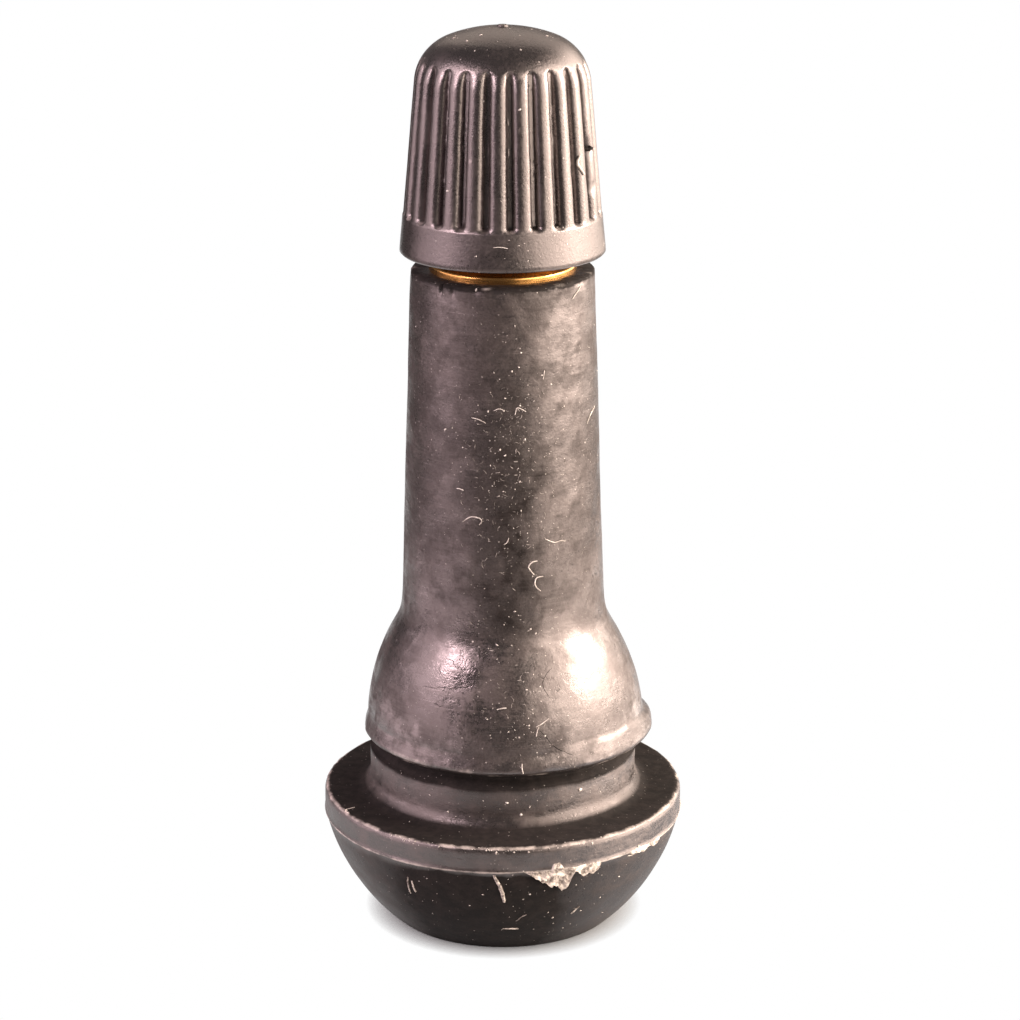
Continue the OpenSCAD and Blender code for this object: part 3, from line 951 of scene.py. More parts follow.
@dataclass
class BrassStem:
    """The brass stem: foot and keyed shank in the rubber, cap thread outside and core thread inside.

    Attributes:
        finish: Its finish.
        foot_r: Radius of the foot.
        foot_h: Height of the foot.
        shank_r: Radius of the shank.
        key_count: Number of keying grooves.
        key_w: Width of a keying groove.
        key_depth: Depth of a keying groove.
        key_pitch: Pitch of the keying grooves.
        key_start: Plain shank below the first keying groove.
        relief_r: Radius of the relief under the cap thread.
        relief_in: How far the relief runs into the rubber.
        relief_out: How far the relief stands out of the rubber.
        collar_r: Radius of the low collar on the rubber.
        collar_h: Height of that collar.
        mouth_chamfer: Chamfer round the mouth.
        mouth_lead: Lead-in of the bore.
        cap_thread: The thread for the cap.
        core_thread: The thread for the core.
        core_thread_low: Height where the core thread ends above the seat.
        seat: Radius and height of the seat's upper and lower edge.
        passage_r: Radius of the air passage.
        chamber_low: Height of the floor of the core's chamber.
        steps: Steps of its turn.
        row: Height between two rows of points on a thread.
    """

    finish: TurnedBrass
    foot_r: float = 4.5 * MM
    foot_h: float = 1.6 * MM
    shank_r: float = 3.2 * MM
    key_count: int = 4
    key_w: float = 1.2 * MM
    key_depth: float = 0.3 * MM
    key_pitch: float = 2.6 * MM
    key_start: float = 3.0 * MM
    relief_r: float = 3.45 * MM
    relief_in: float = 1.5 * MM
    relief_out: float = 1.75 * MM
    collar_r: float = 3.82 * MM
    collar_h: float = 0.3 * MM
    mouth_chamfer: float = 0.6 * MM
    mouth_lead: float = 0.3 * MM
    cap_thread: Thread = Thread(25.4 / 32 * MM, 3.45 * MM, 3.83 * MM)
    core_thread: Thread = Thread(25.4 / 36 * MM, 2.95 * MM, 2.66 * MM)
    core_thread_low: float = 36.4 * MM
    seat: tuple[tuple[float, float], ...] = ((2.33 * MM, 35.3 * MM), (2.08 * MM, 33.1 * MM))
    passage_r: float = 1.4 * MM
    chamber_low: float = 23.7 * MM
    steps: int = 128
    row: float = 0.055 * MM

    def __post_init__(self) -> None:
        """Takes the heights from the frame."""
        low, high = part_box("stem")
        self.foot_z = low.z
        self.mouth_z = high.z
        self.rubber_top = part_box("rubber_body")[1].z

    def buried(self, outline: Outline, coarse: float) -> Outline:
        """Draws the part of the stem that the rubber holds, from the foot up to the top of the rubber.

        Args:
            outline: Outline to draw on, or an empty one.
            coarse: Longest step.

        Returns:
            The outline, to draw on.
        """
        foot_top = self.foot_z + self.foot_h
        shank_low = foot_top + self.foot_r - self.shank_r
        relief_low = self.rubber_top - self.relief_in
        outline.start(self.foot_r, self.foot_z).line(self.foot_r, foot_top, coarse)
        outline.line(self.shank_r, shank_low, coarse)
        for i in range(self.key_count):
            z = shank_low + self.key_start + i * self.key_pitch
            outline.line(self.shank_r, z, 4 * coarse)
            outline.line(self.shank_r - self.key_depth, z + self.key_depth, coarse)
            outline.line(self.shank_r - self.key_depth, z + self.key_w - self.key_depth, coarse)
            outline.line(self.shank_r, z + self.key_w, coarse)
        outline.line(self.shank_r, relief_low - self.relief_r + self.shank_r, 4 * coarse)
        outline.line(self.relief_r, relief_low, coarse)
        return outline.line(self.relief_r, self.rubber_top, coarse)

    def build(self) -> bpy.types.Object:
        """Turns the stem and cuts its two threads.

        Returns:
            The piece.
        """
        coarse = 0.5 * MM
        fine = 0.1 * MM
        thread_r = self.cap_thread.crest
        relief_top = self.rubber_top + self.relief_out
        thread_low = relief_top + thread_r - self.relief_r
        chamfer_z = self.mouth_z - self.mouth_chamfer
        bore_r = self.core_thread.crest
        (seat_r, seat_z), (chamber_r, chamber_z) = self.seat
        line = self.buried(Outline(), coarse)
        flare = self.collar_r - self.relief_r
        line.line(self.collar_r, self.rubber_top, fine)
        line.line(self.collar_r, self.rubber_top + self.collar_h, fine)
        line.line(self.relief_r, self.rubber_top + self.collar_h + flare, fine)
        line.line(self.relief_r, relief_top, 2 * fine).line(thread_r, thread_low, self.row)
        line.line(thread_r, chamfer_z, self.row)
        line.line(thread_r - self.mouth_chamfer, self.mouth_z, self.row)
        line.line(bore_r + self.mouth_lead, self.mouth_z, fine)
        line.line(bore_r, self.mouth_z - self.mouth_lead, self.row)
        line.line(bore_r, self.core_thread_low, self.row).line(bore_r, seat_z + bore_r - seat_r, coarse)
        line.line(seat_r, seat_z, coarse).line(chamber_r, chamber_z, coarse)
        line.line(chamber_r, self.chamber_low, 4 * coarse)
        line.line(self.passage_r, self.chamber_low - chamber_r + self.passage_r, coarse)
        line.line(self.passage_r, self.foot_z, 8 * coarse)
        mesh = line.turned(self.steps)
        for v in mesh.verts:
            self.cut(v.co)
        piece = finish_mesh(mesh, "threaded_stem", 50.0)
        self.finish.dress(piece)
        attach(piece, Body.VALVE.value)
        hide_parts("stem")
        return piece

    def cut(self, place: Vector) -> None:
        """Moves one point of the plain stem to the thread that it lies on.

        Args:
            place: The point, which is moved.
        """
        r = math.hypot(place.x, place.y)
        middle = (self.cap_thread.root + self.core_thread.root) / 2
        if r > middle and place.z > self.rubber_top + self.relief_out:
            wanted = min(r, self.cap_thread.radius(place))
        elif r < middle and place.z > self.core_thread_low and r > self.core_thread.crest - 0.01 * MM:
            wanted = max(r, self.core_thread.radius(place))
        else:
            return
        place.xy *= wanted / r


@dataclass(frozen=True)
class Nick:
    """A nick in an edge.

    Attributes:
        bearing: Its bearing in degrees.
        z: Its height.
        wide: Half its width in degrees.
        high: Half its height.
        deep: Its depth.
    """

    bearing: float
    z: float
    wide: float
    high: float
    deep: float

    def depth(self, bearing: float, z: float) -> float:
        """Depth of the nick at a bearing and a height."""
        turn = (bearing - self.bearing + 180) % 360 - 180
        return self.deep * hump(turn, 0, self.wide) * hump(z, self.z, self.high)


@dataclass
class RubberBody:
    """The moulded rubber body: base, flange, neck, bell and sleeve, with its moulding faults, scuffs,
    painted highlights and painted shade.

    Attributes:
        stem: The stem that it holds.
        finish: Its finish.
        base_flat_r: Radius of the flat that it stands on.
        base_top: Top of the bulged base.
        base_bulge: Bulge of the base.
        flange_top: Top of the flange.
        edge_r: Rounding of the flange's upper edge.
        bead: Height of the ragged beads along the flange's edges.
        neck_r: Radius of the neck.
        neck_fillet: Fillet between flange and neck.
        undercut_h: Height of the groove under the bell.
        undercut_depth: Depth of the groove under the bell.
        bell_r: Radius of the bell's rim.
        bell_low: Height of the bell's rim.
        bell_top: Height of the bell's top.
        bell_bulge: Bulge of the bell.
        bell_shift: How far the rim of the bell is off centre, to the right.
        lip_r: Rounding of the bell's rim.
        lip_bead: Height of the bead along the bell's rim.
        lip_rise: Height of the flash on the bell at its thickest.
        lip_top: Upper edge of that flash by bearing.
        lip_grow: Share of its height by bearing.
        sleeve_low_r: Radius of the sleeve at the bell.
        sleeve_top_r: Radius of the sleeve at its top.
        sleeve_edge: Chamfer of the sleeve's top.
        hole_r: Radius of the air hole.
        hole_chamfer: Countersink of the air hole.
        nicks: Nicks in the edges and hollows under the flash.
        steps: Steps of its turn.
    """

    stem: BrassStem
    finish: MouldedRubber
    base_flat_r: float = 6.1 * MM
    base_top: float = 5.85 * MM
    base_bulge: float = 0.55 * MM
    flange_top: float = 7.2 * MM
    edge_r: float = 0.35 * MM
    bead: float = 0.07 * MM
    neck_r: float = 7.15 * MM
    neck_fillet: float = 0.85 * MM
    undercut_h: float = 0.8 * MM
    undercut_depth: float = 0.35 * MM
    bell_r: float = 7.45 * MM
    bell_low: float = 10.25 * MM
    bell_top: float = 17.0 * MM
    bell_bulge: float = 0.5 * MM
    bell_shift: float = 0.14 * MM
    lip_r: float = 0.3 * MM
    lip_bead: float = 0.10 * MM
    lip_rise: float = 0.36 * MM
    lip_top: tuple[tuple[float, float], ...] = (
        (10.0, 11.05 * MM), (24.0, 11.85 * MM), (60.0, 11.9 * MM), (90.0, 11.55 * MM), (130.0, 11.1 * MM),
    )
    lip_grow: tuple[tuple[float, float], ...] = (
        (-90.0, 0.22), (10.0, 0.22), (26.0, 0.34), (60.0, 0.55), (85.0, 1.0), (110.0, 0.9), (150.0, 0.22),
    )
    sleeve_low_r: float = 5.4 * MM
    sleeve_top_r: float = 4.78 * MM
    sleeve_edge: float = 0.08 * MM
    hole_r: float = 1.9 * MM
    hole_chamfer: float = 0.5 * MM
    nicks: tuple[Nick, ...] = (
        Nick(-40.8, 35.5 * MM, 0.9, 0.35 * MM, 0.22 * MM),
        Nick(-31.5, 35.4 * MM, 1.4, 0.22 * MM, 0.16 * MM),
        Nick(54.0, 35.6 * MM, 6.0, 0.25 * MM, 0.14 * MM),
        Nick(-16.5, 35.6 * MM, 2.5, 0.15 * MM, 0.12 * MM),
        Nick(7.5, 5.55 * MM, 4.5, 0.30 * MM, 0.20 * MM),
    )
    steps: int = 264

    def __post_init__(self) -> None:
        """Takes the flange and the top from the frame."""
        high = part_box("rubber_body")[1]
        self.flange_r = high.x
        self.top = high.z
        self.line = sorted((p.y, p.x) for p in self.skin().points)

    def skin(self) -> Outline:
        """Draws the outside, from the flat of the base to the top of the sleeve.

        Returns:
            The outline.
        """
        band_r = self.flange_r - self.bead
        groove_r = self.neck_r - self.undercut_depth
        fine = 0.09 * MM
        edge_centre = Vector((band_r - self.edge_r, self.flange_top - self.edge_r))
        fillet_centre = Vector((self.neck_r + self.neck_fillet, self.flange_top + self.neck_fillet))
        outline = Outline().start(self.base_flat_r, 0.0)
        outline.bow(band_r, self.base_top, self.base_bulge, 0.16 * MM)
        outline.line(band_r, self.flange_top - self.edge_r, fine)
        outline.arc(edge_centre, self.edge_r, 0, 90, 0.07 * MM)
        outline.line(fillet_centre.x, self.flange_top, 0.16 * MM)
        outline.arc(fillet_centre, self.neck_fillet, 270, 180, 0.12 * MM)
        outline.line(self.neck_r, self.bell_low - self.undercut_h, 0.2 * MM)
        outline.line(groove_r, self.bell_low - self.undercut_h / 2, fine)
        outline.line(groove_r, self.bell_low, fine)
        outline.line(self.bell_r - self.lip_r, self.bell_low, fine)
        outline.bow(self.bell_r, self.bell_low + self.lip_r, self.lip_r * 0.2, 0.07 * MM)
        outline.bow(self.sleeve_low_r, self.bell_top, self.bell_bulge, 0.12 * MM)
        outline.line(self.sleeve_top_r, self.top - self.sleeve_edge, 0.21 * MM)
        outline.soften(self.bell_top, 1.2 * MM, 24)
        return outline.line(self.sleeve_top_r - self.sleeve_edge, self.top, 0.06 * MM)

    def lip(self, bearing: float, z: float) -> float:
        """Height of the flash and of the rounded lip on the lower bell."""
        grow = read_off(bearing, self.lip_grow)
        upper = read_off(bearing, self.lip_top)
        upper += rough(at_bearing(bearing, self.bell_r, 0), 0.5, 4.0) * 0.1 * MM
        climb = (0.38 + 0.3 * (1 - grow)) * MM
        foot = smooth(self.bell_low - 0.35 * MM, self.bell_low - 0.15 * MM, z)
        return self.lip_rise * grow * smooth(upper, upper - climb, z) * foot

    def painted_shade_share(self, place: Vector) -> float:
        """How much painted shade lies at a point, from 0 to 1, as a dull dark surface on the base's
        front, the flange top, the groove under the bell, the sleeve's top and down the sleeve's front.
        """
        z = place.z
        bearing = bearing_of(place)
        flange, rim, sleeve = self.flange_top, self.bell_low, self.bell_top
        ragged = rough(place, 0.9, 21.0) * 0.16 * MM
        # Painted shade on the base, darkest at its front
        base = smooth(self.base_top + 0.02 * MM, self.base_top - 0.5 * MM, z + ragged)
        base *= 0.25 + 0.95 * hump(bearing, -8.0, 30.0)
        # Painted shade on the flange's upward top
        ledge = 0.35 * smooth(flange + 0.7 * MM, flange + 0.15 * MM, z)
        ledge += 0.58 * smooth(flange + 0.3 * MM, flange + 0.05 * MM, z)
        ledge *= smooth(flange - 0.08 * MM, flange - 0.01 * MM, z)
        # Painted shade in the groove under the bell's rim
        under = smooth(rim - 1.1 * MM, rim - 0.65 * MM, z + ragged * 0.6)
        under *= smooth(rim + 0.2 * MM, rim + 0.05 * MM, z)
        # Painted shadow of the cap on the sleeve's top edge
        crest = smooth(self.top - 0.35 * MM, self.top - 0.08 * MM, z + ragged * 0.6)
        # Painted dark reflection in a band down the sleeve's front
        along = smooth(sleeve - 0.5 * MM, sleeve + 1.5 * MM, z)
        along *= smooth(self.top - 0.65 * MM, sleeve + 5.0 * MM, z)
        across = hump(bearing, 2.0 + 6.0 * smooth(sleeve + 2.0 * MM, sleeve + 8.0 * MM, z), 15.0)
        dark_patch = along * across * (0.46 + 0.5 * rough(place, 0.8, 31.0))
        return max(base, ledge, under * 1.2, crest * 0.9, dark_patch)

    def flange_change(self, place: Vector) -> tuple[float, float]:
        """Move of a point of the flange, and its share of pale scuffing and painted highlight, as change
        gives them, and 0 elsewhere.
        """
        z = place.z
        if not self.base_top - self.bead * 8 < z < self.flange_top + 0.01 * MM:
            return 0.0, 0.0
        r = math.hypot(place.x, place.y)
        ragged = rough(place, 1.3, 5.0)
        low_edge = hump(z, self.base_top, 0.08 * MM)
        top_edge = hump(z, self.flange_top - 0.08 * MM, 0.10 * MM)
        top_edge *= smooth(self.flange_r - 0.6 * MM, self.flange_r - 0.25 * MM, r)
        move = self.bead * (0.75 + 0.4 * ragged) * low_edge
        move += self.bead * (0.45 + 0.6 * rough(place, 1.7, 9.0)) * top_edge
        # Pale scuffs along both edges of the band, partly a painted highlight line
        wear_and_highlight = max(low_edge * (0.8 + 0.35 * ragged), top_edge * (0.7 + 0.5 * rough(place, 1.1, 7.0)))
        return move, wear_and_highlight

    def bell_change(self, place: Vector) -> tuple[float, float]:
        """Move of a point of the bell, and its share of pale scuffing and painted highlight, as change
        gives them, and 0 elsewhere.
        """
        z = place.z
        if not self.bell_low - self.undercut_h < z < self.bell_top:
            return 0.0, 0.0
        bearing = bearing_of(place)
        side = math.sin(math.radians(bearing))
        settle = smooth(self.bell_top, self.bell_low, z)
        move = self.bell_shift * side * settle + self.lip(bearing, z)
        bead = hump(z, self.bell_low + 0.46 * MM, 0.40 * MM)
        crease = hump(z, self.bell_low + 1.10 * MM, 0.20 * MM)
        move += self.lip_bead * (bead * (1 + 0.25 * rough(place, 0.8, 3.0)) - crease * 0.25)
        # The bell's rim, pale with scuffs and partly a painted highlight line
        rim = hump(z, self.bell_low + 0.1 * MM, 0.14 * MM)
        move += rim * 0.04 * MM * rough(place, 1.6, 3.0)
        wear_and_highlight = rim * (0.3 + 0.6 * rough(place, 1.2, 11.0))
        # Painted highlight on the lip's left side, laid as pale chafing
        lip_chafe_and_highlight = hump(z, self.bell_low + 0.34 * MM, 0.24 * MM) * hump(bearing, -30.0, 36.0)
        return move, max(wear_and_highlight, lip_chafe_and_highlight * (0.5 + 0.4 * rough(place, 1.0, 17.0)))

    def change(self, place: Vector) -> tuple[float, float]:
        """Works out what moulding, scuffing and painted highlights do at one point of the plain skin.

        Args:
            place: The point.

        Returns:
            Its move away from the axis, and its share of pale scuffing and painted highlight from 0 to 1.
        """
        z = place.z
        bearing = bearing_of(place)
        flange_move, flange_wear_and_highlight = self.flange_change(place)
        bell_move, bell_wear_and_highlight = self.bell_change(place)
        move = rough(place, 0.12, 1.0) * 0.035 * MM + rough(place, 0.6, 2.0) * 0.012 * MM
        move += flange_move + bell_move
        wear_and_highlight = max(flange_wear_and_highlight, bell_wear_and_highlight)
        groove = hump(z, self.bell_low - 0.35 * MM, 0.25 * MM)
        move += groove * (rough(place, 2.0, 6.0) * 0.06 - 0.08) * MM
        top = smooth(self.top - 0.5 * MM, self.top, z)
        move += top * rough(place, 1.4, 8.0) * 0.05 * MM
        wear_and_highlight = max(wear_and_highlight, top * (0.2 + 0.5 * rough(place, 1.0, 12.0)))
        move -= sum(nick.depth(bearing, z) for nick in self.nicks)
        return move, min(max(wear_and_highlight, 0.0), 1.0)

    def build(self) -> bpy.types.Object:
        """Turns the body round the stem's pocket, weathers its skin and stores its scuffs, painted
        highlights and painted shade.

        Returns:
            The piece.
        """
        coarse = 1.2 * MM
        inside = self.stem.buried(Outline(), coarse).points
        whole = self.skin()
        whole.points += inside[::-1]
        whole.line(self.hole_r, self.stem.foot_z, coarse).line(self.hole_r, self.hole_chamfer, coarse)
        whole.line(self.hole_r + self.hole_chamfer, 0.0, coarse)
        mesh = whole.turned(self.steps)
        # Pale scuffs and painted highlights at each point
        worn = mesh.verts.layers.float.new("wear_and_highlight")
        # Painted shade at each point
        painted_shade = mesh.verts.layers.float.new("painted_shade")
        for v in mesh.verts:
            r = math.hypot(v.co.x, v.co.y)
            if r > self.stem.foot_r + 0.05 * MM and v.co.z > 0.01 * MM:
                v[painted_shade] = self.painted_shade_share(v.co)
                move, v[worn] = self.change(v.co)
                v.co.xy *= min(r + move, self.flange_r) / r
        piece = finish_mesh(mesh, "moulded_body", 60.0)
        self.finish.dress(piece)
        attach(piece, Body.VALVE.value)
        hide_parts("rubber_body")
        return piece

    def on_skin(self, bearing: float, z: float) -> Vector:
        """Point of the weathered skin at a bearing and a height."""
        r = read_off(z, self.line)
        return at_bearing(bearing, min(r + self.change(at_bearing(bearing, r, z))[0], self.flange_r), z)


@dataclass
class ScrewCap:
    """The plastic cap: ribbed side, domed crown with its gate, and a threaded bore.

    Attributes:
        finish: Its finish.
        thread: The thread in its bore.
        draft: Draft of its side in degrees.
        edge: Chamfer of its lower edge.
        crown_r: Radius of the crown.
        shoulder_r: Radius of the shoulder.
        gate_r: Radius of the moulding gate.
        gate_h: Height of the moulding gate.
        ribs: Number of ribs.
        band_h: Plain band below the ribs.
        groove_depth: Depth of a groove at the band.
        groove_w: Width of a groove's floor.
        groove_draft: Draft of a groove's floor in degrees.
        groove_l: Length of a groove.
        rib_edge: Rounding of the ribs.
        rib_step: How far the ribs' feet stand back behind the plain band.
        groove_turn: Bearing of the first groove in degrees.
        groove_end: Length over which a groove's upper end closes.
        ledge_h: Height of the ledge in which a groove's lower end closes.
        lead: Lead-in of the thread.
        bore: Radius and height of the steps inside, from the dimple down.
        nicks: Damage on the ribs.
        spread: Where the points of half a rib lie, as shares of the rib.
        row: Height between two rows of points on the thread.
    """

    finish: CapPlastic
    thread: Thread
    draft: float = 5.35
    edge: float = 0.09 * MM
    crown_r: float = 8.0 * MM
    shoulder_r: float = 2.6 * MM
    gate_r: float = 0.3 * MM
    gate_h: float = 0.12 * MM
    ribs: int = 24
    band_h: float = 1.95 * MM
    groove_depth: float = 0.5 * MM
    groove_w: float = 0.24 * MM
    groove_draft: float = 4.4
    groove_l: float = 8.0 * MM
    rib_edge: float = 0.45 * MM
    rib_step: float = 0.03 * MM
    groove_turn: float = 4.9
    groove_end: float = 0.18 * MM
    ledge_h: float = 0.28 * MM
    lead: float = 0.45 * MM
    bore: tuple[tuple[float, float], ...] = (
        (2.0 * MM, 46.6 * MM), (2.0 * MM, 45.8 * MM), (3.45 * MM, 45.8 * MM), (3.45 * MM, 45.0 * MM),
    )
    nicks: tuple[Nick, ...] = (
        Nick(66.5, 42.3 * MM, 3.2, 0.35 * MM, 0.42 * MM),
        Nick(63.0, 41.0 * MM, 2.2, 0.60 * MM, 0.12 * MM),
        Nick(70.0, 40.2 * MM, 2.5, 0.30 * MM, 0.14 * MM),
    )
    spread: tuple[float, ...] = (0.0, 0.085, 0.102, 0.13, 0.175, 0.235, 0.31, 0.40, 0.5)
    row: float = 0.08 * MM

    def __post_init__(self) -> None:
        """Takes the ends and the width from the frame."""
        low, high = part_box("cap")
        self.low_z = low.z
        self.top_z = high.z
        self.low_r = high.x
        self.slope = math.tan(math.radians(self.draft))
        self.groove_low = self.low_z + self.band_h
        self.groove_top = self.groove_low + self.groove_l * math.cos(math.radians(self.groove_draft))
        self.line = sorted((p.y, p.x) for p in self.outside().points)

    def inside(self) -> Outline:
        """Draws the inside, from the middle of the dimple down the bore.

        Returns:
            The outline.
        """
        bore_r = self.thread.crest
        last_r, last_z = self.bore[-1]
        line = Outline().start(0.0, self.bore[0][1])
        for r, z in self.bore:
            line.line(r, z, 0.8 * MM)
        line.line(bore_r, last_z - bore_r + last_r, 0.1 * MM)
        line.line(bore_r, self.low_z + self.lead, self.row)
        line.line(bore_r + self.lead, self.low_z, self.row)
        return line.line(self.low_r - 2 * self.edge, self.low_z, 0.3 * MM)

    def outside(self) -> Outline:
        """Draws the outside, from the lower edge to the gate.

        Returns:
            The outline.
        """
        fine = 0.05 * MM
        crown_z = self.top_z - self.gate_h - self.crown_r
        reach = self.crown_r - self.shoulder_r
        turn = math.radians(self.draft)
        lean = self.low_r * math.cos(turn) - self.shoulder_r - (crown_z - self.low_z) * math.sin(turn)
        meet = self.draft + math.degrees(math.acos(lean / reach))
        at_meet = Vector((math.cos(math.radians(meet)), math.sin(math.radians(meet))))
        shoulder = Vector((0.0, crown_z)) + reach * at_meet
        shoulder_z = shoulder.y + self.shoulder_r * math.sin(turn)
        gate_angle = math.degrees(math.acos(self.gate_r / self.crown_r))
        line = Outline().start(self.low_r - self.edge, self.low_z)
        line.line(self.side_r(self.low_z + self.edge), self.low_z + self.edge, fine)
        line.line(self.side_r(self.groove_low - 0.1 * MM), self.groove_low - 0.1 * MM, 0.2 * MM)
        line.line(self.side_r(self.groove_low + 0.35 * MM), self.groove_low + 0.35 * MM, fine)
        line.line(self.side_r(shoulder_z), shoulder_z, 0.17 * MM)
        line.arc(shoulder, self.shoulder_r, self.draft, meet, 0.085 * MM)
        line.arc(Vector((0.0, crown_z)), self.crown_r, meet, gate_angle, 0.16 * MM)
        line.line(self.gate_r - 0.06 * MM, self.top_z - 0.03 * MM, fine)
        return line.line(0.0, self.top_z, 0.14 * MM)

    def side_r(self, z: float) -> float:
        """Radius of the plain side at a height."""
        return self.low_r - (z - self.low_z) * self.slope

    def groove(self, across: float, r: float, z: float) -> float:
        """Depth of a groove below the plain surface.

        Args:
            across: Distance from the groove's middle.
            r: Radius of the plain surface there.
            z: Height.

        Returns:
            The depth, 0 outside the groove.
        """
        if not self.groove_low < z < self.groove_top:
            return 0.0
        floor_r = self.side_r(self.groove_low) - self.groove_depth
        floor_r -= (z - self.groove_low) * math.tan(math.radians(self.groove_draft))
        closing = max(0.0, (z - self.groove_top + self.groove_end) / self.groove_end)
        across /= max(math.sqrt(1 - min(closing, 0.999) ** 2), 0.05)
        over = min(max((across - self.groove_w / 2) / self.rib_edge, 0.0), 1.0)
        share = 1 - math.sqrt(1 - (1 - over) ** 2)
        ledge = smooth(self.groove_low, self.groove_low + self.ledge_h, z)
        return max(0.0, r - floor_r) * share * ledge

    def crowded(self, bearing: float) -> float:
        """Bearing to which a point of the even turn moves, so that points crowd at the grooves' edges."""
        rib = 360 / self.ribs
        number = round((bearing - self.groove_turn) / rib)
        share = (bearing - self.groove_turn) / rib - number
        half = len(self.spread) - 1
        stops = [(i / (2 * half), s) for i, s in enumerate(self.spread)]
        return (number + math.copysign(read_off(abs(share), stops), share)) * rib + self.groove_turn

    def change(self, place: Vector) -> tuple[float, float]:
        """Works out what ribs, moulding, damage and painted highlights do at one point of the plain
        outside.

        Args:
            place: The point.

        Returns:
            Its move away from the axis, and its share of worn edge and painted highlight from 0 to 1.
        """
        r = math.hypot(place.x, place.y)
        if place.z < self.low_z + self.edge or r < self.gate_r:
            return 0.0, 0.0
        bearing = bearing_of(place)
        rib = 360 / self.ribs
        number = round((bearing - self.groove_turn) / rib)
        offset = math.radians(bearing - self.groove_turn - number * rib) * r
        across = abs(offset + 0.02 * MM * rough(Vector((number * 3.1 * MM, 0.0, place.z)), 0.8, 2.0))
        on_ribs = self.groove_low < place.z < self.groove_top
        edge = hump(across, self.groove_w / 2 + self.rib_edge * 0.75, 0.12 * MM) if on_ribs else 0.0
        ledge = hump(place.z, self.groove_low + 0.08 * MM, 0.12 * MM)
        ledge *= smooth(self.groove_w / 2 + self.rib_edge * 0.8, self.groove_w / 2, across)
        step = smooth(self.groove_low - 0.02 * MM, self.groove_low + 0.06 * MM, place.z)
        step *= smooth(self.groove_top - 1.5 * MM, self.groove_low, place.z)
        move = rough(place, 0.3, 3.0) * 0.012 * MM
        move -= self.groove(across, r, place.z) + step * self.rib_step
        nicked = sum(nick.depth(bearing, place.z) for nick in self.nicks)
        move -= nicked * (0.6 + 0.8 * rough(place, 2.0, 5.0))
        # Worn rib edges, partly a painted highlight
        rubbed_and_highlight = edge * (0.25 + 0.7 * rough(place, 1.2, 8.0))
        # Painted highlight on the grooves' lower ends
        rubbed_and_highlight = max(rubbed_and_highlight, ledge * (0.8 + 0.5 * rough(place, 0.9, 4.0)))
        # Painted highlight on the shoulder above the grooves
        shoulder = hump(place.z, self.groove_top - 0.1 * MM, 0.5 * MM)
        rubbed_and_highlight = max(rubbed_and_highlight, shoulder * (0.5 + 0.4 * rough(place, 0.9, 14.0)))
        return min(move, self.low_r - r), min(max(rubbed_and_highlight, 0.0), 1.0)

    def on_skin(self, bearing: float, z: float) -> Vector:
        """Point of the cap's outside at a bearing and a height."""
        r = read_off(z, self.line)
        return at_bearing(bearing, r + self.change(at_bearing(bearing, r, z))[0], z)

    def build(self) -> bpy.types.Object:
        """Turns the cap, cuts its grooves and thread, and stores its worn edges and painted highlights.

        Returns:
            The piece.
        """
        steps = self.ribs * 2 * (len(self.spread) - 1)
        whole = Outline(self.inside().points + self.outside().points)
        mesh = whole.turned(steps, self.groove_turn, ring=False)
        # Worn edges and painted highlights at each point
        worn = mesh.verts.layers.float.new("wear_and_highlight")
        for v in mesh.verts:
            r = math.hypot(v.co.x, v.co.y)
            if r > self.thread.root + 0.01 * MM or v.co.z > self.bore[0][1] + 0.01 * MM:
                v.co.xy = at_bearing(self.crowded(bearing_of(v.co)), r, v.co.z).xy
                move, v[worn] = self.change(v.co)
                v.co.xy *= (r + move) / max(r, 1e-9)
            elif r > self.thread.crest - 0.01 * MM and v.co.z > self.low_z + self.lead:
                v.co.xy *= max(r, self.thread.radius(v.co)) / r
        piece = finish_mesh(mesh, "ribbed_cap", 50.0)
        self.finish.dress(piece)
        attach(piece, Body.CAP.value)
        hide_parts("cap")
        return piece


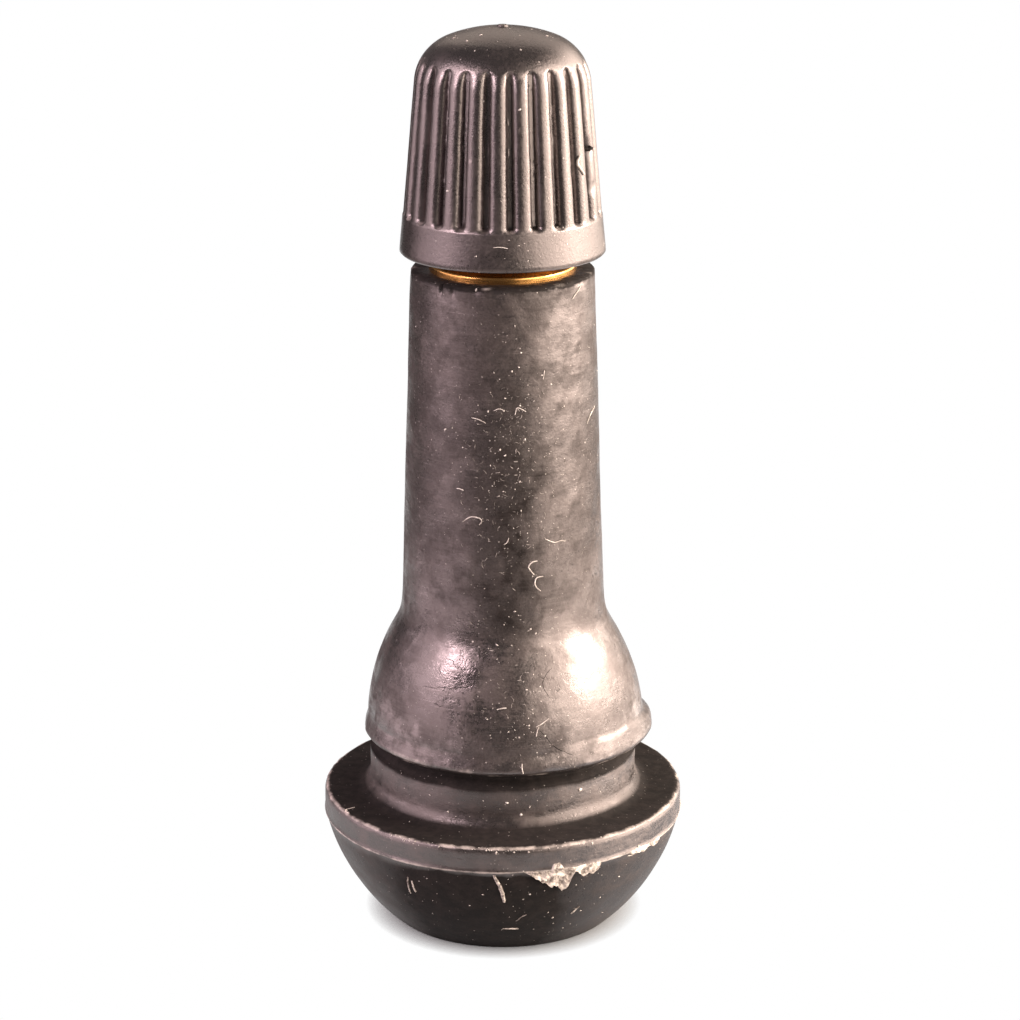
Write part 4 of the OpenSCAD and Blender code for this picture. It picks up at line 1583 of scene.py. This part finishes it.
@dataclass(frozen=True)
class Strand:
    """A thread of fluff, a scratch or a crack that lies on a skin.

    Attributes:
        way: Bearings in degrees and heights in millimetres of the points that it passes.
        thick: Its radius.
        lift: How far its middle stands over the skin.
        jag: How far it strays from its way, in millimetres.
        SIDES: Sides of its tube.
    """

    way: tuple[tuple[float, float], ...]
    thick: float
    lift: float = 0.012 * MM
    jag: float = 0.0
    SIDES: ClassVar[int] = 6

    def points(self, pieces: int = 5) -> list[tuple[float, float]]:
        """Rounds off the way.

        Args:
            pieces: Steps between two of its points.

        Returns:
            Bearings and heights along the strand.
        """
        ends = [Vector(p) for p in (self.way[0], *self.way, self.way[-1])]
        found = []
        for a, b, c, d in zip(ends, ends[1:], ends[2:], ends[3:]):
            for i in range(pieces):
                s = i / pieces
                bend = (2 * a - 5 * b + 4 * c - d) * s * s + (3 * b - a - 3 * c + d) * s**3
                found.append(b + ((c - a) * s + bend) / 2)
        stray = [rough(Vector((p.x * MM, p.y * MM, 0.0)), 3.0, 2.0) * self.jag for p in found]
        return [(p.x - 4 * s, p.y + s) for p, s in zip(found, stray)] + [tuple(ends[-1])]

    def add(self, mesh: bmesh.types.BMesh, skin: Skinned) -> None:
        """Adds the strand as a thin tube.

        Args:
            mesh: Mesh to add to.
            skin: Skin that it lies on.
        """
        seats = [seat_on(skin, bearing, z * MM) for bearing, z in self.points()]
        places = [seat.translation + seat.col[2].xyz * self.lift for seat in seats]
        last: list[bmesh.types.BMEdge] = []
        for i, place in enumerate(places):
            along = (places[min(i + 1, len(places) - 1)] - places[max(i - 1, 0)]).normalized()
            turn = along.to_track_quat("Z", "Y").to_matrix().to_4x4()
            turn.translation = place
            taper = 0.45 + 0.55 * math.sin(math.pi * (i + 0.5) / len(places)) ** 0.5
            made = bmesh.ops.create_circle(
                mesh, segments=self.SIDES, radius=self.thick * taper, matrix=turn
            )
            loop = list({edge for v in made["verts"] for edge in v.link_edges})
            if last:
                bmesh.ops.bridge_loops(mesh, edges=last + loop)
            last = loop


@dataclass
class Strands:
    """All strands of one kind on one piece.

    Attributes:
        name: Name of the new piece.
        skin: Piece that they lie on.
        body: Body that they ride on.
        finish: Their finish.
        strands: The strands.
    """

    name: str
    skin: Skinned
    body: Body
    finish: Finish
    strands: Sequence[Strand]

    def build(self) -> bpy.types.Object:
        """Lays the strands.

        Returns:
            The piece.
        """
        mesh = bmesh.new()
        for strand in self.strands:
            one = bmesh.new()
            strand.add(one, self.skin)
            pour(one, mesh)
        bmesh.ops.holes_fill(mesh, edges=mesh.edges, sides=Strand.SIDES)
        bmesh.ops.recalc_face_normals(mesh, faces=mesh.faces)
        piece = finish_mesh(mesh, self.name, 80.0)
        self.finish.dress(piece)
        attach(piece, self.body.value)
        return piece


@dataclass(frozen=True)
class DustPatch:
    """A patch over which dust is strewn.

    Attributes:
        count: Number of grains.
        bearing: Middle and spread of their bearings in degrees.
        height: Middle and spread of their heights in millimetres.
        size: Radius of a common grain.
    """

    count: int
    bearing: tuple[float, float]
    height: tuple[float, float]
    size: float


@dataclass
class Dust:
    """Grains of dust on one piece.

    Attributes:
        name: Name of the new piece.
        skin: Piece that they lie on.
        body: Body that they ride on.
        finish: Their finish.
        patches: Patches that are strewn.
        grains: Single grains as bearing in degrees, height in millimetres and radius.
        limits: Lowest and highest grain in millimetres.
        seed: Picks the pattern.
    """

    name: str
    skin: Skinned
    body: Body
    finish: Finish
    patches: Sequence[DustPatch]
    grains: Sequence[tuple[float, float, float]]
    limits: tuple[float, float]
    seed: int = 7

    def strewn(self) -> list[tuple[float, float, float]]:
        """Picks the grains.

        Returns:
            The single grains and those of the patches.
        """
        pick = random.Random(self.seed)
        found = list(self.grains)
        for patch in self.patches:
            for _ in range(patch.count):
                bearing = pick.gauss(*patch.bearing)
                height = min(max(pick.gauss(*patch.height), self.limits[0]), self.limits[1])
                found.append((bearing, height, patch.size * (0.55 + 0.9 * pick.random() ** 3)))
        return found

    def build(self) -> bpy.types.Object:
        """Strews the dust.

        Returns:
            The piece.
        """
        pick = random.Random(self.seed + 1)
        mesh = bmesh.new()
        for bearing, height, size in self.strewn():
            seat = seat_on(self.skin, bearing, height * MM)
            turn = Matrix.Rotation(pick.uniform(0, math.pi), 4, "Z")
            shape = Matrix.Diagonal((pick.uniform(0.8, 1.6), pick.uniform(0.6, 1.0), 0.6, 1.0))
            bmesh.ops.create_icosphere(mesh, subdivisions=1, radius=size, matrix=seat @ turn @ shape)
        piece = finish_mesh(mesh, self.name, 80.0)
        self.finish.dress(piece)
        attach(piece, self.body.value)
        return piece


@dataclass
class TornFlash:
    """Torn moulding flash that hangs from the lower edge of the flange.

    Attributes:
        name: Name of the piece.
        body: The rubber body.
        finish: Its finish.
        hang: How far it hangs below the edge in millimetres, by bearing in degrees.
        climb: How far it climbs over the edge in millimetres, by bearing in degrees.
        lump: Height of its lumps.
        sheet: Thickness of its sheet.
        cells: Cells along and across it.
    """

    name: str
    body: RubberBody
    finish: TornRubber
    hang: tuple[tuple[float, float], ...]
    climb: tuple[tuple[float, float], ...]
    lump: float = 0.26 * MM
    sheet: float = 0.07 * MM
    cells: tuple[int, int] = (110, 22)

    def settle(self, u: float, v: float) -> Vector:
        """Point of the torn sheet.

        Args:
            u: Share of the way along it.
            v: Share of the way up it.

        Returns:
            The point.
        """
        first, last = self.hang[0][0], self.hang[-1][0]
        bearing = first + (last - first) * u
        ragged = rough(Vector((bearing * 0.2 * MM, 0.0, 0.0)), 2.2, 3.0)
        low = self.body.base_top - read_off(bearing, self.hang) * MM * (1 + 0.35 * ragged)
        high = self.body.base_top + read_off(bearing, self.climb) * MM * (1 + 0.25 * ragged)
        z = low + (high - low) * v
        skin = self.body.on_skin(bearing, z)
        lumps = 0.5 + 0.9 * rough(skin, 1.5, 14.0, 4)
        swell = self.lump * max(lumps, 0.0) * smooth(0.0, 0.12, min(u, 1 - u)) * smooth(1.0, 0.75, v)
        curl = 0.12 * MM * (1 - v) ** 2
        r = math.hypot(skin.x, skin.y) + swell + curl * smooth(0.0, 0.1, min(u, 1 - u)) - 0.02 * MM
        return at_bearing(bearing, min(r, self.body.flange_r - 0.001 * MM), z)

    def build(self) -> bpy.types.Object:
        """Crumples the sheet.

        Returns:
            The piece.
        """
        mesh = bmesh.new()
        along, across = self.cells
        bmesh.ops.create_grid(mesh, x_segments=along, y_segments=across, size=0.5)
        for v in mesh.verts:
            v.co = self.settle(v.co.x + 0.5, v.co.y + 0.5)
        back = bmesh.ops.extrude_face_region(mesh, geom=mesh.faces[:], use_keep_orig=True)["geom"]
        for v in back:
            if isinstance(v, bmesh.types.BMVert):
                v.co.xy *= 1 - self.sheet / math.hypot(v.co.x, v.co.y)
        bmesh.ops.recalc_face_normals(mesh, faces=mesh.faces)
        piece = finish_mesh(mesh, self.name, 70.0)
        self.finish.dress(piece)
        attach(piece, Body.VALVE.value)
        return piece


@dataclass
class ValveCore:
    """The valve core and the cap's gasket, which keep their solids, apart from the spring.

    Attributes:
        finishes: Finish of each node.
        spring: Node of the spring.
        press: Joint that presses the pin, whose travel is read but shortens nothing.
    """

    finishes: Mapping[str, Finish]
    spring: str = "core_spring"
    press: str = "pin_press"

    def coil(self) -> bpy.types.Object:
        """Puts a merged copy of the solid spring in its place, on the barrel.

        Returns:
            The piece.
        """
        mesh = bmesh.new()
        mesh.from_mesh(frame["nodes"][self.spring].data)
        bmesh.ops.remove_doubles(mesh, verts=mesh.verts, dist=MERGE)
        piece = finish_mesh(mesh, "coil_spring")
        piece.data.materials.clear()
        self.finishes[self.spring].dress(piece)
        low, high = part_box(self.spring)
        travel = next(max(joint["range_m"]) for joint in frame["joints"] if joint["name"] == self.press)
        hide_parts(self.spring)
        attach(piece, Body.BARREL.value)
        keep = 1 - travel / (high[2] - low[2])
        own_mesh(piece)
        return piece

    def dress(self) -> list[bpy.types.Object]:
        """Gives each node its finish.

        Returns:
            The nodes' objects, and the new spring.
        """
        solid = {name: finish for name, finish in self.finishes.items() if name != self.spring}
        for name, finish in solid.items():
            finish.dress(frame["nodes"][name])
        return [frame["nodes"][name] for name in solid] + [self.coil()]


# The studio


@dataclass(frozen=True)
class Softbox:
    """An upright soft lamp that faces the valve.

    Attributes:
        name: Its name.
        bearing: Its bearing in degrees to the right of the front.
        distance: Its distance from the valve's axis.
        low: Height of its lower edge.
        size: Its width and height.
        glow: Its brightness, where 1 is white.
        colour: Its colour.
    """

    name: str
    bearing: float
    distance: float
    low: float
    size: tuple[float, float]
    glow: float
    colour: tuple[float, float, float]

    def build(self) -> bpy.types.Object:
        """Stands the lamp up.

        Returns:
            The lamp.
        """
        data = bpy.data.lights.new(self.name, "AREA")
        data.shape = "RECTANGLE"
        data.size, data.size_y = self.size
        data.energy = self.glow * math.pi * self.size[0] * self.size[1]
        data.color = self.colour
        lamp = bpy.data.objects.new(self.name, data)
        lamp.location = at_bearing(self.bearing, self.distance, self.low + self.size[1] / 2)
        lamp.rotation_euler = at_bearing(self.bearing, 1.0, 0.0).to_track_quat("Z", "Y").to_euler()
        lamp.visible_camera = False
        bpy.context.scene.collection.objects.link(lamp)
        return lamp


@dataclass
class Studio:
    """A white floor, a plain surround, soft lamps and the camera.

    Attributes:
        lamps: The lamps.
        floor_r: Radius of the floor.
        floor_white: Colour of the floor.
        floor_lift: Share of white in the floor, all over in pictures and on its sheet in reflections.
        contact: How far round a contact the floor is darker.
        lift_from: Where the white sheet starts and where it is full, in millimetres behind the axis.
        sheet: How fast the sheet widens towards the back.
        sheet_edge: Where the sheet ends and where it is full, in millimetres past that widening.
        grey: Colour of the surround.
        ambient: Strength of the surround.
        aim_z: Height on the axis that the camera looks at.
        pitch: How far the camera looks down, in degrees.
        distance: Distance of the camera from what it looks at.
        aside: How far the camera stands to the right of the axis.
        lens: Focal length in millimetres.
        sensor: Sensor width in millimetres.
    """

    lamps: Sequence[Softbox]
    floor_r: float = 6.0
    floor_white: Colour = (0.27, 0.27, 0.27, 1.0)
    floor_lift: float = 1.0
    contact: float = 1.0 * MM
    lift_from: tuple[float, float] = (-31.0, -19.0)
    sheet: float = 0.17
    sheet_edge: tuple[float, float] = (14.0, 2.0)
    grey: Colour = (1.0, 0.97, 0.96, 1.0)
    ambient: float = 0.11
    aim_z: float = 22.5 * MM
    pitch: float = 17.4
    distance: float = 173.3 * MM
    aside: float = 0.38 * MM
    lens: float = 115.4
    sensor: float = 36.0

    def seen(self, shader: Shader, sheet: Value) -> Value:
        """Where the floor is white.

        Args:
            shader: The floor's shader.
            sheet: 1 on the white sheet, and 0 beside it.

        Returns:
            1 in pictures, and on the sheet also in reflections and through glass.
        """
        path = shader.node("ShaderNodeLightPath").outputs
        glossy = Value(shader, path["Is Glossy Ray"])
        mirrored = glossy.most(Value(shader, path["Is Transmission Ray"]))
        return (mirrored * sheet).most(Value(shader, path["Is Camera Ray"]))

    def floor(self) -> bpy.types.Object:
        """Lays the floor.

        Returns:
            The floor.
        """
        mesh = bmesh.new()
        bmesh.ops.create_circle(mesh, cap_ends=True, segments=96, radius=self.floor_r)
        made = finish_mesh(mesh, "floor")
        material = bpy.data.materials.new("white_floor")
        shader = Shader(material)
        matt = shader.node("ShaderNodeBsdfDiffuse", None, {"Color": self.floor_white})
        open_sky = shader.node("ShaderNodeAmbientOcclusion", {"samples": 2}, {"Distance": self.contact})
        behind = shader.along("Y")
        beside = abs(shader.along("X")) - (behind + self.distance / MM) * self.sheet
        sheet = behind.rise(*self.lift_from) * beside.rise(*self.sheet_edge)
        lift = self.seen(shader, sheet) * self.floor_lift * Value(shader, open_sky.outputs["AO"])
        glow = shader.node("ShaderNodeEmission", None, {"Color": (1.0, 1.0, 1.0, 1.0), "Strength": 1.0})
        shader.end(shader.blend(lift, matt.outputs[0], glow.outputs[0]))
        made.data.materials.append(material)
        return made

    def surround(self) -> bpy.types.World:
        """Makes the plain surround.

        Returns:
            The world.
        """
        world = bpy.data.worlds.new("plain_surround")
        bpy.context.scene.world = world
        shader = Shader(world)
        back = shader.node("ShaderNodeBackground", None, {"Color": self.grey, "Strength": self.ambient})
        shader.node("ShaderNodeOutputWorld", None, {"Surface": back.outputs[0]})
        return world

    def camera(self) -> bpy.types.Object:
        """Sets up the camera.

        Returns:
            The camera.
        """
        data = bpy.data.cameras.new("camera")
        data.lens = self.lens
        data.sensor_width = self.sensor
        data.clip_start = 5 * MM
        made = bpy.data.objects.new("camera", data)
        down = math.radians(self.pitch)
        made.location = (
            self.aside, -self.distance * math.cos(down), self.aim_z + self.distance * math.sin(down)
        )
        made.rotation_euler = (math.pi / 2 - down, 0.0, 0.0)
        bpy.context.scene.collection.objects.link(made)
        bpy.context.scene.camera = made
        return made

    def build(self) -> None:
        """Sets up the floor, the surround, the lamps and the camera."""
        scene = bpy.context.scene
        scene.view_settings.view_transform = "Standard"
        self.floor()
        self.surround()
        for lamp in self.lamps:
            lamp.build()
        self.camera()


# Where scuffs, tears, cracks, dirt, the cap hole's painted shade and the lamps are


def lint(
    count: int, bearing: tuple[float, float], height: tuple[float, float], seed: int
) -> tuple[Strand, ...]:
    """Scatters short hairs of fluff.

    Args:
        count: How many.
        bearing: Middle and spread of their bearings in degrees.
        height: Middle and spread of their heights in millimetres.
        seed: Start of the chance numbers.

    Returns:
        The hairs.
    """
    # Degrees of bearing in a millimetre of the sleeve
    per_mm = 10.0
    chance = random.Random(seed)
    found = []
    for _ in range(count):
        b, z = chance.gauss(*bearing), chance.gauss(*height)
        turn = chance.uniform(0.0, math.pi)
        half = chance.uniform(0.05, 0.14)
        bow = chance.uniform(-0.05, 0.05)
        along = Vector((per_mm * half * math.cos(turn), half * math.sin(turn)))
        aside = Vector((-per_mm * bow * math.sin(turn), bow * math.cos(turn)))
        middle = Vector((b, z))
        way = tuple(tuple(p) for p in (middle - along, middle + aside, middle + along))
        found.append(Strand(way, chance.uniform(0.008, 0.014) * MM))
    return tuple(found)


FLUFF = (
    Strand(((-23.5, 23.35), (-18.3, 23.67), (-13.0, 23.62), (-12.0, 23.45), (-13.5, 23.28)), 0.034 * MM),
    Strand(((-18.5, 28.92), (-14.0, 28.85), (-9.7, 28.67)), 0.026 * MM),
    Strand(((-5.1, 29.35), (-2.0, 29.45), (1.4, 29.35)), 0.024 * MM),
    Strand(((7.3, 29.13), (8.3, 29.45), (9.9, 29.47), (13.9, 29.27)), 0.024 * MM),
    Strand(((24.6, 30.88), (25.1, 31.1), (25.8, 31.33)), 0.024 * MM),
    Strand(((19.9, 21.30), (16.6, 21.25), (14.6, 21.02), (15.9, 20.80), (17.8, 20.57)), 0.036 * MM),
    Strand(((23.2, 20.43), (19.4, 20.40), (18.2, 20.12), (19.1, 19.88), (21.7, 19.65)), 0.036 * MM),
    Strand(((0.7, 22.27), (2.4, 22.38), (3.6, 22.63)), 0.026 * MM),
    Strand(((24.8, 22.42), (30.5, 22.16), (35.0, 22.18), (38.2, 22.10)), 0.026 * MM),
    Strand(((-27.2, 25.10), (-25.0, 25.09), (-23.0, 25.03)), 0.030 * MM),
    Strand(((59.5, 27.97), (64.0, 28.35), (71.7, 28.66)), 0.026 * MM),
    Strand(((47.3, 34.78), (51.0, 35.02), (56.6, 35.30)), 0.040 * MM),
    Strand(((14.0, 12.90), (16.6, 13.05), (19.7, 13.27)), 0.030 * MM),
    Strand(((13.8, 12.42), (14.2, 12.66), (14.9, 12.89)), 0.026 * MM),
    Strand(((7.7, 11.04), (7.6, 10.8), (8.0, 10.52)), 0.028 * MM),
    Strand(((-2.5, 13.83), (0.0, 13.90), (1.6, 13.91)), 0.034 * MM),
)

SCUFFS = (
    Strand(((-2.8, 5.70), (-1.0, 5.03), (0.0, 4.45), (0.5, 3.93)), 0.105 * MM, 0.0, 0.06),
    Strand(((-31.9, 4.91), (-32.6, 4.3), (-32.5, 3.78)), 0.050 * MM, 0.0, 0.06),
    Strand(((-30.5, 4.67), (-30.6, 4.3), (-30.3, 3.97)), 0.050 * MM, 0.0, 0.06),
    Strand(((0.0, 1.89), (3.0, 1.88), (6.0, 1.86)), 0.055 * MM, 0.0, 0.04),
    Strand(((4.8, 2.46), (6.4, 2.75), (8.4, 2.95)), 0.035 * MM, 0.0, 0.06),
    Strand(((25.7, 2.57), (27.0, 2.85), (28.0, 3.05)), 0.055 * MM, 0.0, 0.04),
    Strand(((43.5, 5.62), (48.0, 5.64), (53.0, 5.70)), 0.045 * MM, 0.0, 0.04),
    Strand(((-62.6, 7.19), (-61.2, 7.15), (-59.0, 7.17)), 0.050 * MM, 0.0, 0.04),
)

CRACKS = (
    Strand(
        ((-38.6, 14.50), (-31.3, 14.57), (-23.7, 14.70), (-17.4, 14.86), (-14.8, 15.07)),
        0.017 * MM, 0.0, 0.10,
    ),
    Strand(((-30.9, 13.79), (-28.5, 13.74), (-26.2, 13.78)), 0.016 * MM, 0.0, 0.06),
    Strand(
        ((15.6, 12.68), (17.9, 12.35), (20.2, 11.92), (24.3, 11.53), (28.9, 11.21)),
        0.020 * MM, 0.0, 0.10,
    ),
    Strand(((24.3, 15.68), (19.5, 15.20), (18.6, 14.84), (20.7, 14.35)), 0.017 * MM, 0.0, 0.10),
    Strand(((-27.0, 15.4), (-24.0, 15.2), (-21.5, 15.26), (-19.6, 15.1)), 0.014 * MM, 0.0, 0.10),
    Strand(((-22.0, 16.3), (-19.5, 16.1), (-18.0, 15.7)), 0.014 * MM, 0.0, 0.08),
)

GRAINS = tuple(
    (bearing, height, size * MM)
    for bearing, height, size in (
        (-36.0, 28.1, 0.07), (-31.0, 28.25, 0.05), (-24.0, 27.3, 0.05), (-1.5, 27.3, 0.07),
        (1.4, 27.0, 0.06), (7.1, 25.2, 0.06), (13.2, 27.8, 0.06), (5.6, 31.4, 0.06),
        (24.0, 31.1, 0.05), (9.8, 31.6, 0.05), (-8.5, 29.3, 0.05), (-14.5, 29.6, 0.05),
        (1.5, 30.0, 0.06), (10.3, 29.6, 0.05), (-32.3, 8.72, 0.06), (-23.6, 7.98, 0.08),
        (34.6, 8.94, 0.11), (1.8, 8.72, 0.07), (7.7, 8.03, 0.09), (56.0, 8.8, 0.05),
        (-16.5, 35.55, 0.08), (17.5, 12.4, 0.07), (11.0, 13.0, 0.06), (-3.0, 16.9, 0.06),
        (48.0, 5.95, 0.12), (49.0, 5.75, 0.09), (57.0, 5.5, 0.10), (18.4, 2.51, 0.09),
        (36.0, 3.3, 0.06), (-2.0, 6.95, 0.09), (3.5, 6.98, 0.07), (8.0, 6.97, 0.06),
        (29.0, 6.98, 0.07),
    )
)


def wear_dirt_and_painted_shade(body: RubberBody, cap: ScrewCap) -> list[Strands | Dust | TornFlash]:
    """Lists what lies or hangs on the rubber and on the cap, and the painted shade in the cap's hole.

    Args:
        body: The rubber body.
        cap: The cap.

    Returns:
        The pieces, ready to build.
    """
    fluff = Blotched("fluff")
    grey_lint = Blotched("lint", (0.55, 0.50, 0.46, 1.0), (0.26, 0.23, 0.21, 1.0))
    flash = TornRubber("torn_rubber")
    hang = (
        (6.0, 0.02), (9.0, 0.22), (12.0, 0.62), (15.5, 0.98), (17.5, 0.95), (19.0, 1.32), (20.5, 1.10),
        (22.0, 0.45), (23.0, 0.22), (25.0, 0.50), (28.5, 0.55), (31.0, 0.40), (33.0, 0.02),
    )
    climb = (
        (6.0, 0.02), (15.0, 0.05), (16.0, 0.42), (18.0, 0.45), (19.5, 0.08), (23.0, 0.02), (27.0, 0.12),
        (33.0, 0.02),
    )
    side_hang = ((43.0, 0.02), (47.0, 0.18), (50.0, 0.30), (52.0, 0.12), (57.0, 0.26), (60.0, 0.02))
    side_climb = ((43.0, 0.02), (48.0, 0.12), (52.0, 0.03), (60.0, 0.02))
    hairs = (
        *lint(90, (4.0, 15.0), (27.0, 2.4), 3), *lint(50, (8.0, 22.0), (22.0, 3.5), 5),
        *lint(24, (10.0, 12.0), (13.8, 1.5), 8),
    )
    rubber_dust = (
        DustPatch(56, (12.0, 13.0), (26.5, 3.0), 0.034 * MM),
        DustPatch(150, (5.0, 18.0), (26.0, 4.0), 0.022 * MM),
        DustPatch(90, (5.0, 26.0), (22.0, 5.0), 0.024 * MM),
        DustPatch(40, (20.0, 50.0), (29.0, 4.0), 0.034 * MM),
        DustPatch(36, (11.0, 7.0), (13.2, 1.1), 0.042 * MM),
        DustPatch(18, (5.0, 12.0), (17.5, 0.7), 0.045 * MM),
        DustPatch(26, (0.0, 40.0), (8.6, 0.6), 0.036 * MM),
        DustPatch(40, (18.0, 30.0), (3.6, 1.4), 0.040 * MM),
        DustPatch(60, (-6.0, 22.0), (7.1, 0.07), 0.042 * MM),
    )
    cap_dust = (
        DustPatch(20, (0.0, 60.0), (47.7, 0.25), 0.034 * MM),
        DustPatch(20, (0.0, 50.0), (37.6, 0.5), 0.034 * MM),
        DustPatch(20, (10.0, 50.0), (42.0, 2.4), 0.034 * MM),
    )
    cap_grains = (
        (-68.7, 47.74, 0.07 * MM), (-42.9, 47.74, 0.09 * MM), (-36.4, 47.97, 0.06 * MM),
        (70.3, 47.82, 0.07 * MM), (10.9, 44.74, 0.08 * MM), (27.3, 40.25, 0.07 * MM),
        (-34.0, 40.56, 0.07 * MM),
    )
    flake = (
        Strand(((54.2, 42.10), (52.8, 41.75), (53.8, 41.45), (56.4, 41.10)), 0.085 * MM, 0.06 * MM),
        Strand(((-5.0, 37.9), (-1.0, 37.92), (3.0, 37.85)), 0.020 * MM),
    )
    # A dark tube in the nick between the ribs: painted shade in the cap's hole
    hole = (Strand(((66.6, 42.40), (68.4, 42.25), (70.6, 42.32)), 0.13 * MM, 0.08 * MM, 0.15),)
    return [
        TornFlash("torn_flash", body, flash, hang, climb),
        TornFlash("torn_flakes", body, flash, side_hang, side_climb, 0.12 * MM, 0.05 * MM, (60, 10)),
        Strands("body_fluff", body, Body.VALVE, fluff, FLUFF),
        Strands("body_lint", body, Body.VALVE, grey_lint, hairs),
        Strands("base_scuffs", body, Body.VALVE, flash, SCUFFS),
        Strands("body_cracks", body, Body.VALVE, CrackShade("crack"), CRACKS),
        Dust("body_dust", body, Body.VALVE, fluff, rubber_dust, GRAINS, (0.6, 35.4)),
        Strands("cap_hole_painted_shade", cap, Body.CAP, CrackShade("cap_hole_shade_black"), hole),
        Strands("cap_flake", cap, Body.CAP, fluff, flake),
        Dust("cap_dust", cap, Body.CAP, fluff, cap_dust, cap_grains, (36.9, 48.15), 11),
    ]


WARM = (1.0, 0.85, 0.73)
PINK = (1.0, 0.79, 0.84)
LAMPS = (
    Softbox("right_lamp", 84.0, 0.085, 0.002, (0.17, 0.12), 1.5, WARM),
    Softbox("right_upper", 106.0, 0.12, 0.015, (0.19, 0.12), 2.5, WARM),
    Softbox("right_front", 42.0, 0.13, 0.026, (0.08, 0.07), 3.2, WARM),
    Softbox("right_high", 72.0, 0.12, 0.115, (0.12, 0.05), 5.0, WARM),
    Softbox("right_spot", 89.0, 0.13, 0.045, (0.09, 0.055), 14.6, WARM),
    Softbox("right_mid", 80.0, 0.10, 0.009, (0.12, 0.02), 3.1, WARM),
    Softbox("right_low", 90.0, 0.028, 0.0003, (0.055, 0.007), 6.2, WARM),
    Softbox("right_back", 135.0, 0.12, 0.002, (0.07, 0.12), 1.4, WARM),
    Softbox("left_lamp", -62.0, 0.085, 0.002, (0.05, 0.11), 0.50, PINK),
    Softbox("left_upper", -80.0, 0.12, 0.028, (0.14, 0.10), 1.7, PINK),
    Softbox("left_high", -68.0, 0.12, 0.115, (0.12, 0.05), 4.6, PINK),
    Softbox("left_spot", -54.0, 0.13, 0.075, (0.05, 0.05), 11.0, PINK),
    Softbox("left_mid", -80.0, 0.10, 0.009, (0.06, 0.02), 1.2, PINK),
    Softbox("left_low", -72.0, 0.028, 0.0003, (0.03, 0.005), 0.5, PINK),
    Softbox("left_lip", -72.0, 0.028, 0.0055, (0.045, 0.005), 2.4, PINK),
    Softbox("back_lamp", 165.0, 0.12, 0.085, (0.18, 0.10), 0.9, WARM),
)


def main() -> None:
    """Builds the studio and the valve, and reports each piece."""
    logging.basicConfig(level=logging.INFO, format="%(relativeCreated)d ms %(message)s")
    LOG.info("frame loaded")
    Studio(LAMPS).build()
    stem = BrassStem(TurnedBrass("stem_brass"))
    polished = (at_bearing(-25.0, 6.4 * MM, 15.0 * MM), at_bearing(43.8, 6.6 * MM, 14.7 * MM))
    wrinkled = (at_bearing(-23.0, 6.4 * MM, 15.2 * MM), at_bearing(23.0, 6.4 * MM, 15.0 * MM))
    dusty = (at_bearing(4.0, 5.0 * MM, 27.5 * MM), at_bearing(10.0, 6.5 * MM, 14.5 * MM))
    rubber = MouldedRubber("body_rubber", polished, wrinkled, dusty)
    body = RubberBody(stem, rubber)
    play = 0.06 * MM
    outer = stem.cap_thread
    inner = Thread(outer.pitch, outer.crest + play, outer.root + play)
    cap = ScrewCap(CapPlastic("cap_plastic"), inner)
    bright = TurnedBrass("core_brass", bright=(0.86, 0.62, 0.28, 1.0), gloss=0.2, tarnished=0.3)
    black_seal = SoftSeal("gasket_rubber")
    red_seal = SoftSeal("barrel_seal_polymer", (0.28, 0.03, 0.022, 1.0), (0.40, 0.07, 0.05, 1.0), 0.42)
    core = ValveCore(
        {
            "cap_gasket": black_seal, "cup_seal": black_seal, "barrel_seal": red_seal,
            "core_plug": bright, "core_barrel": bright, "core_pin": bright, "plunger_cup": bright,
            "core_spring": SpringSteel("spring_steel"),
        }
    )
    for part in (stem, body, cap, *wear_dirt_and_painted_shade(body, cap)):
        piece = part.build()
        LOG.info("%s: %d faces", piece.name, len(piece.data.polygons))
    for piece in core.dress():
        LOG.info("%s: %d faces", piece.name, len(piece.data.polygons))


if __name__ == "__main__":
    main()
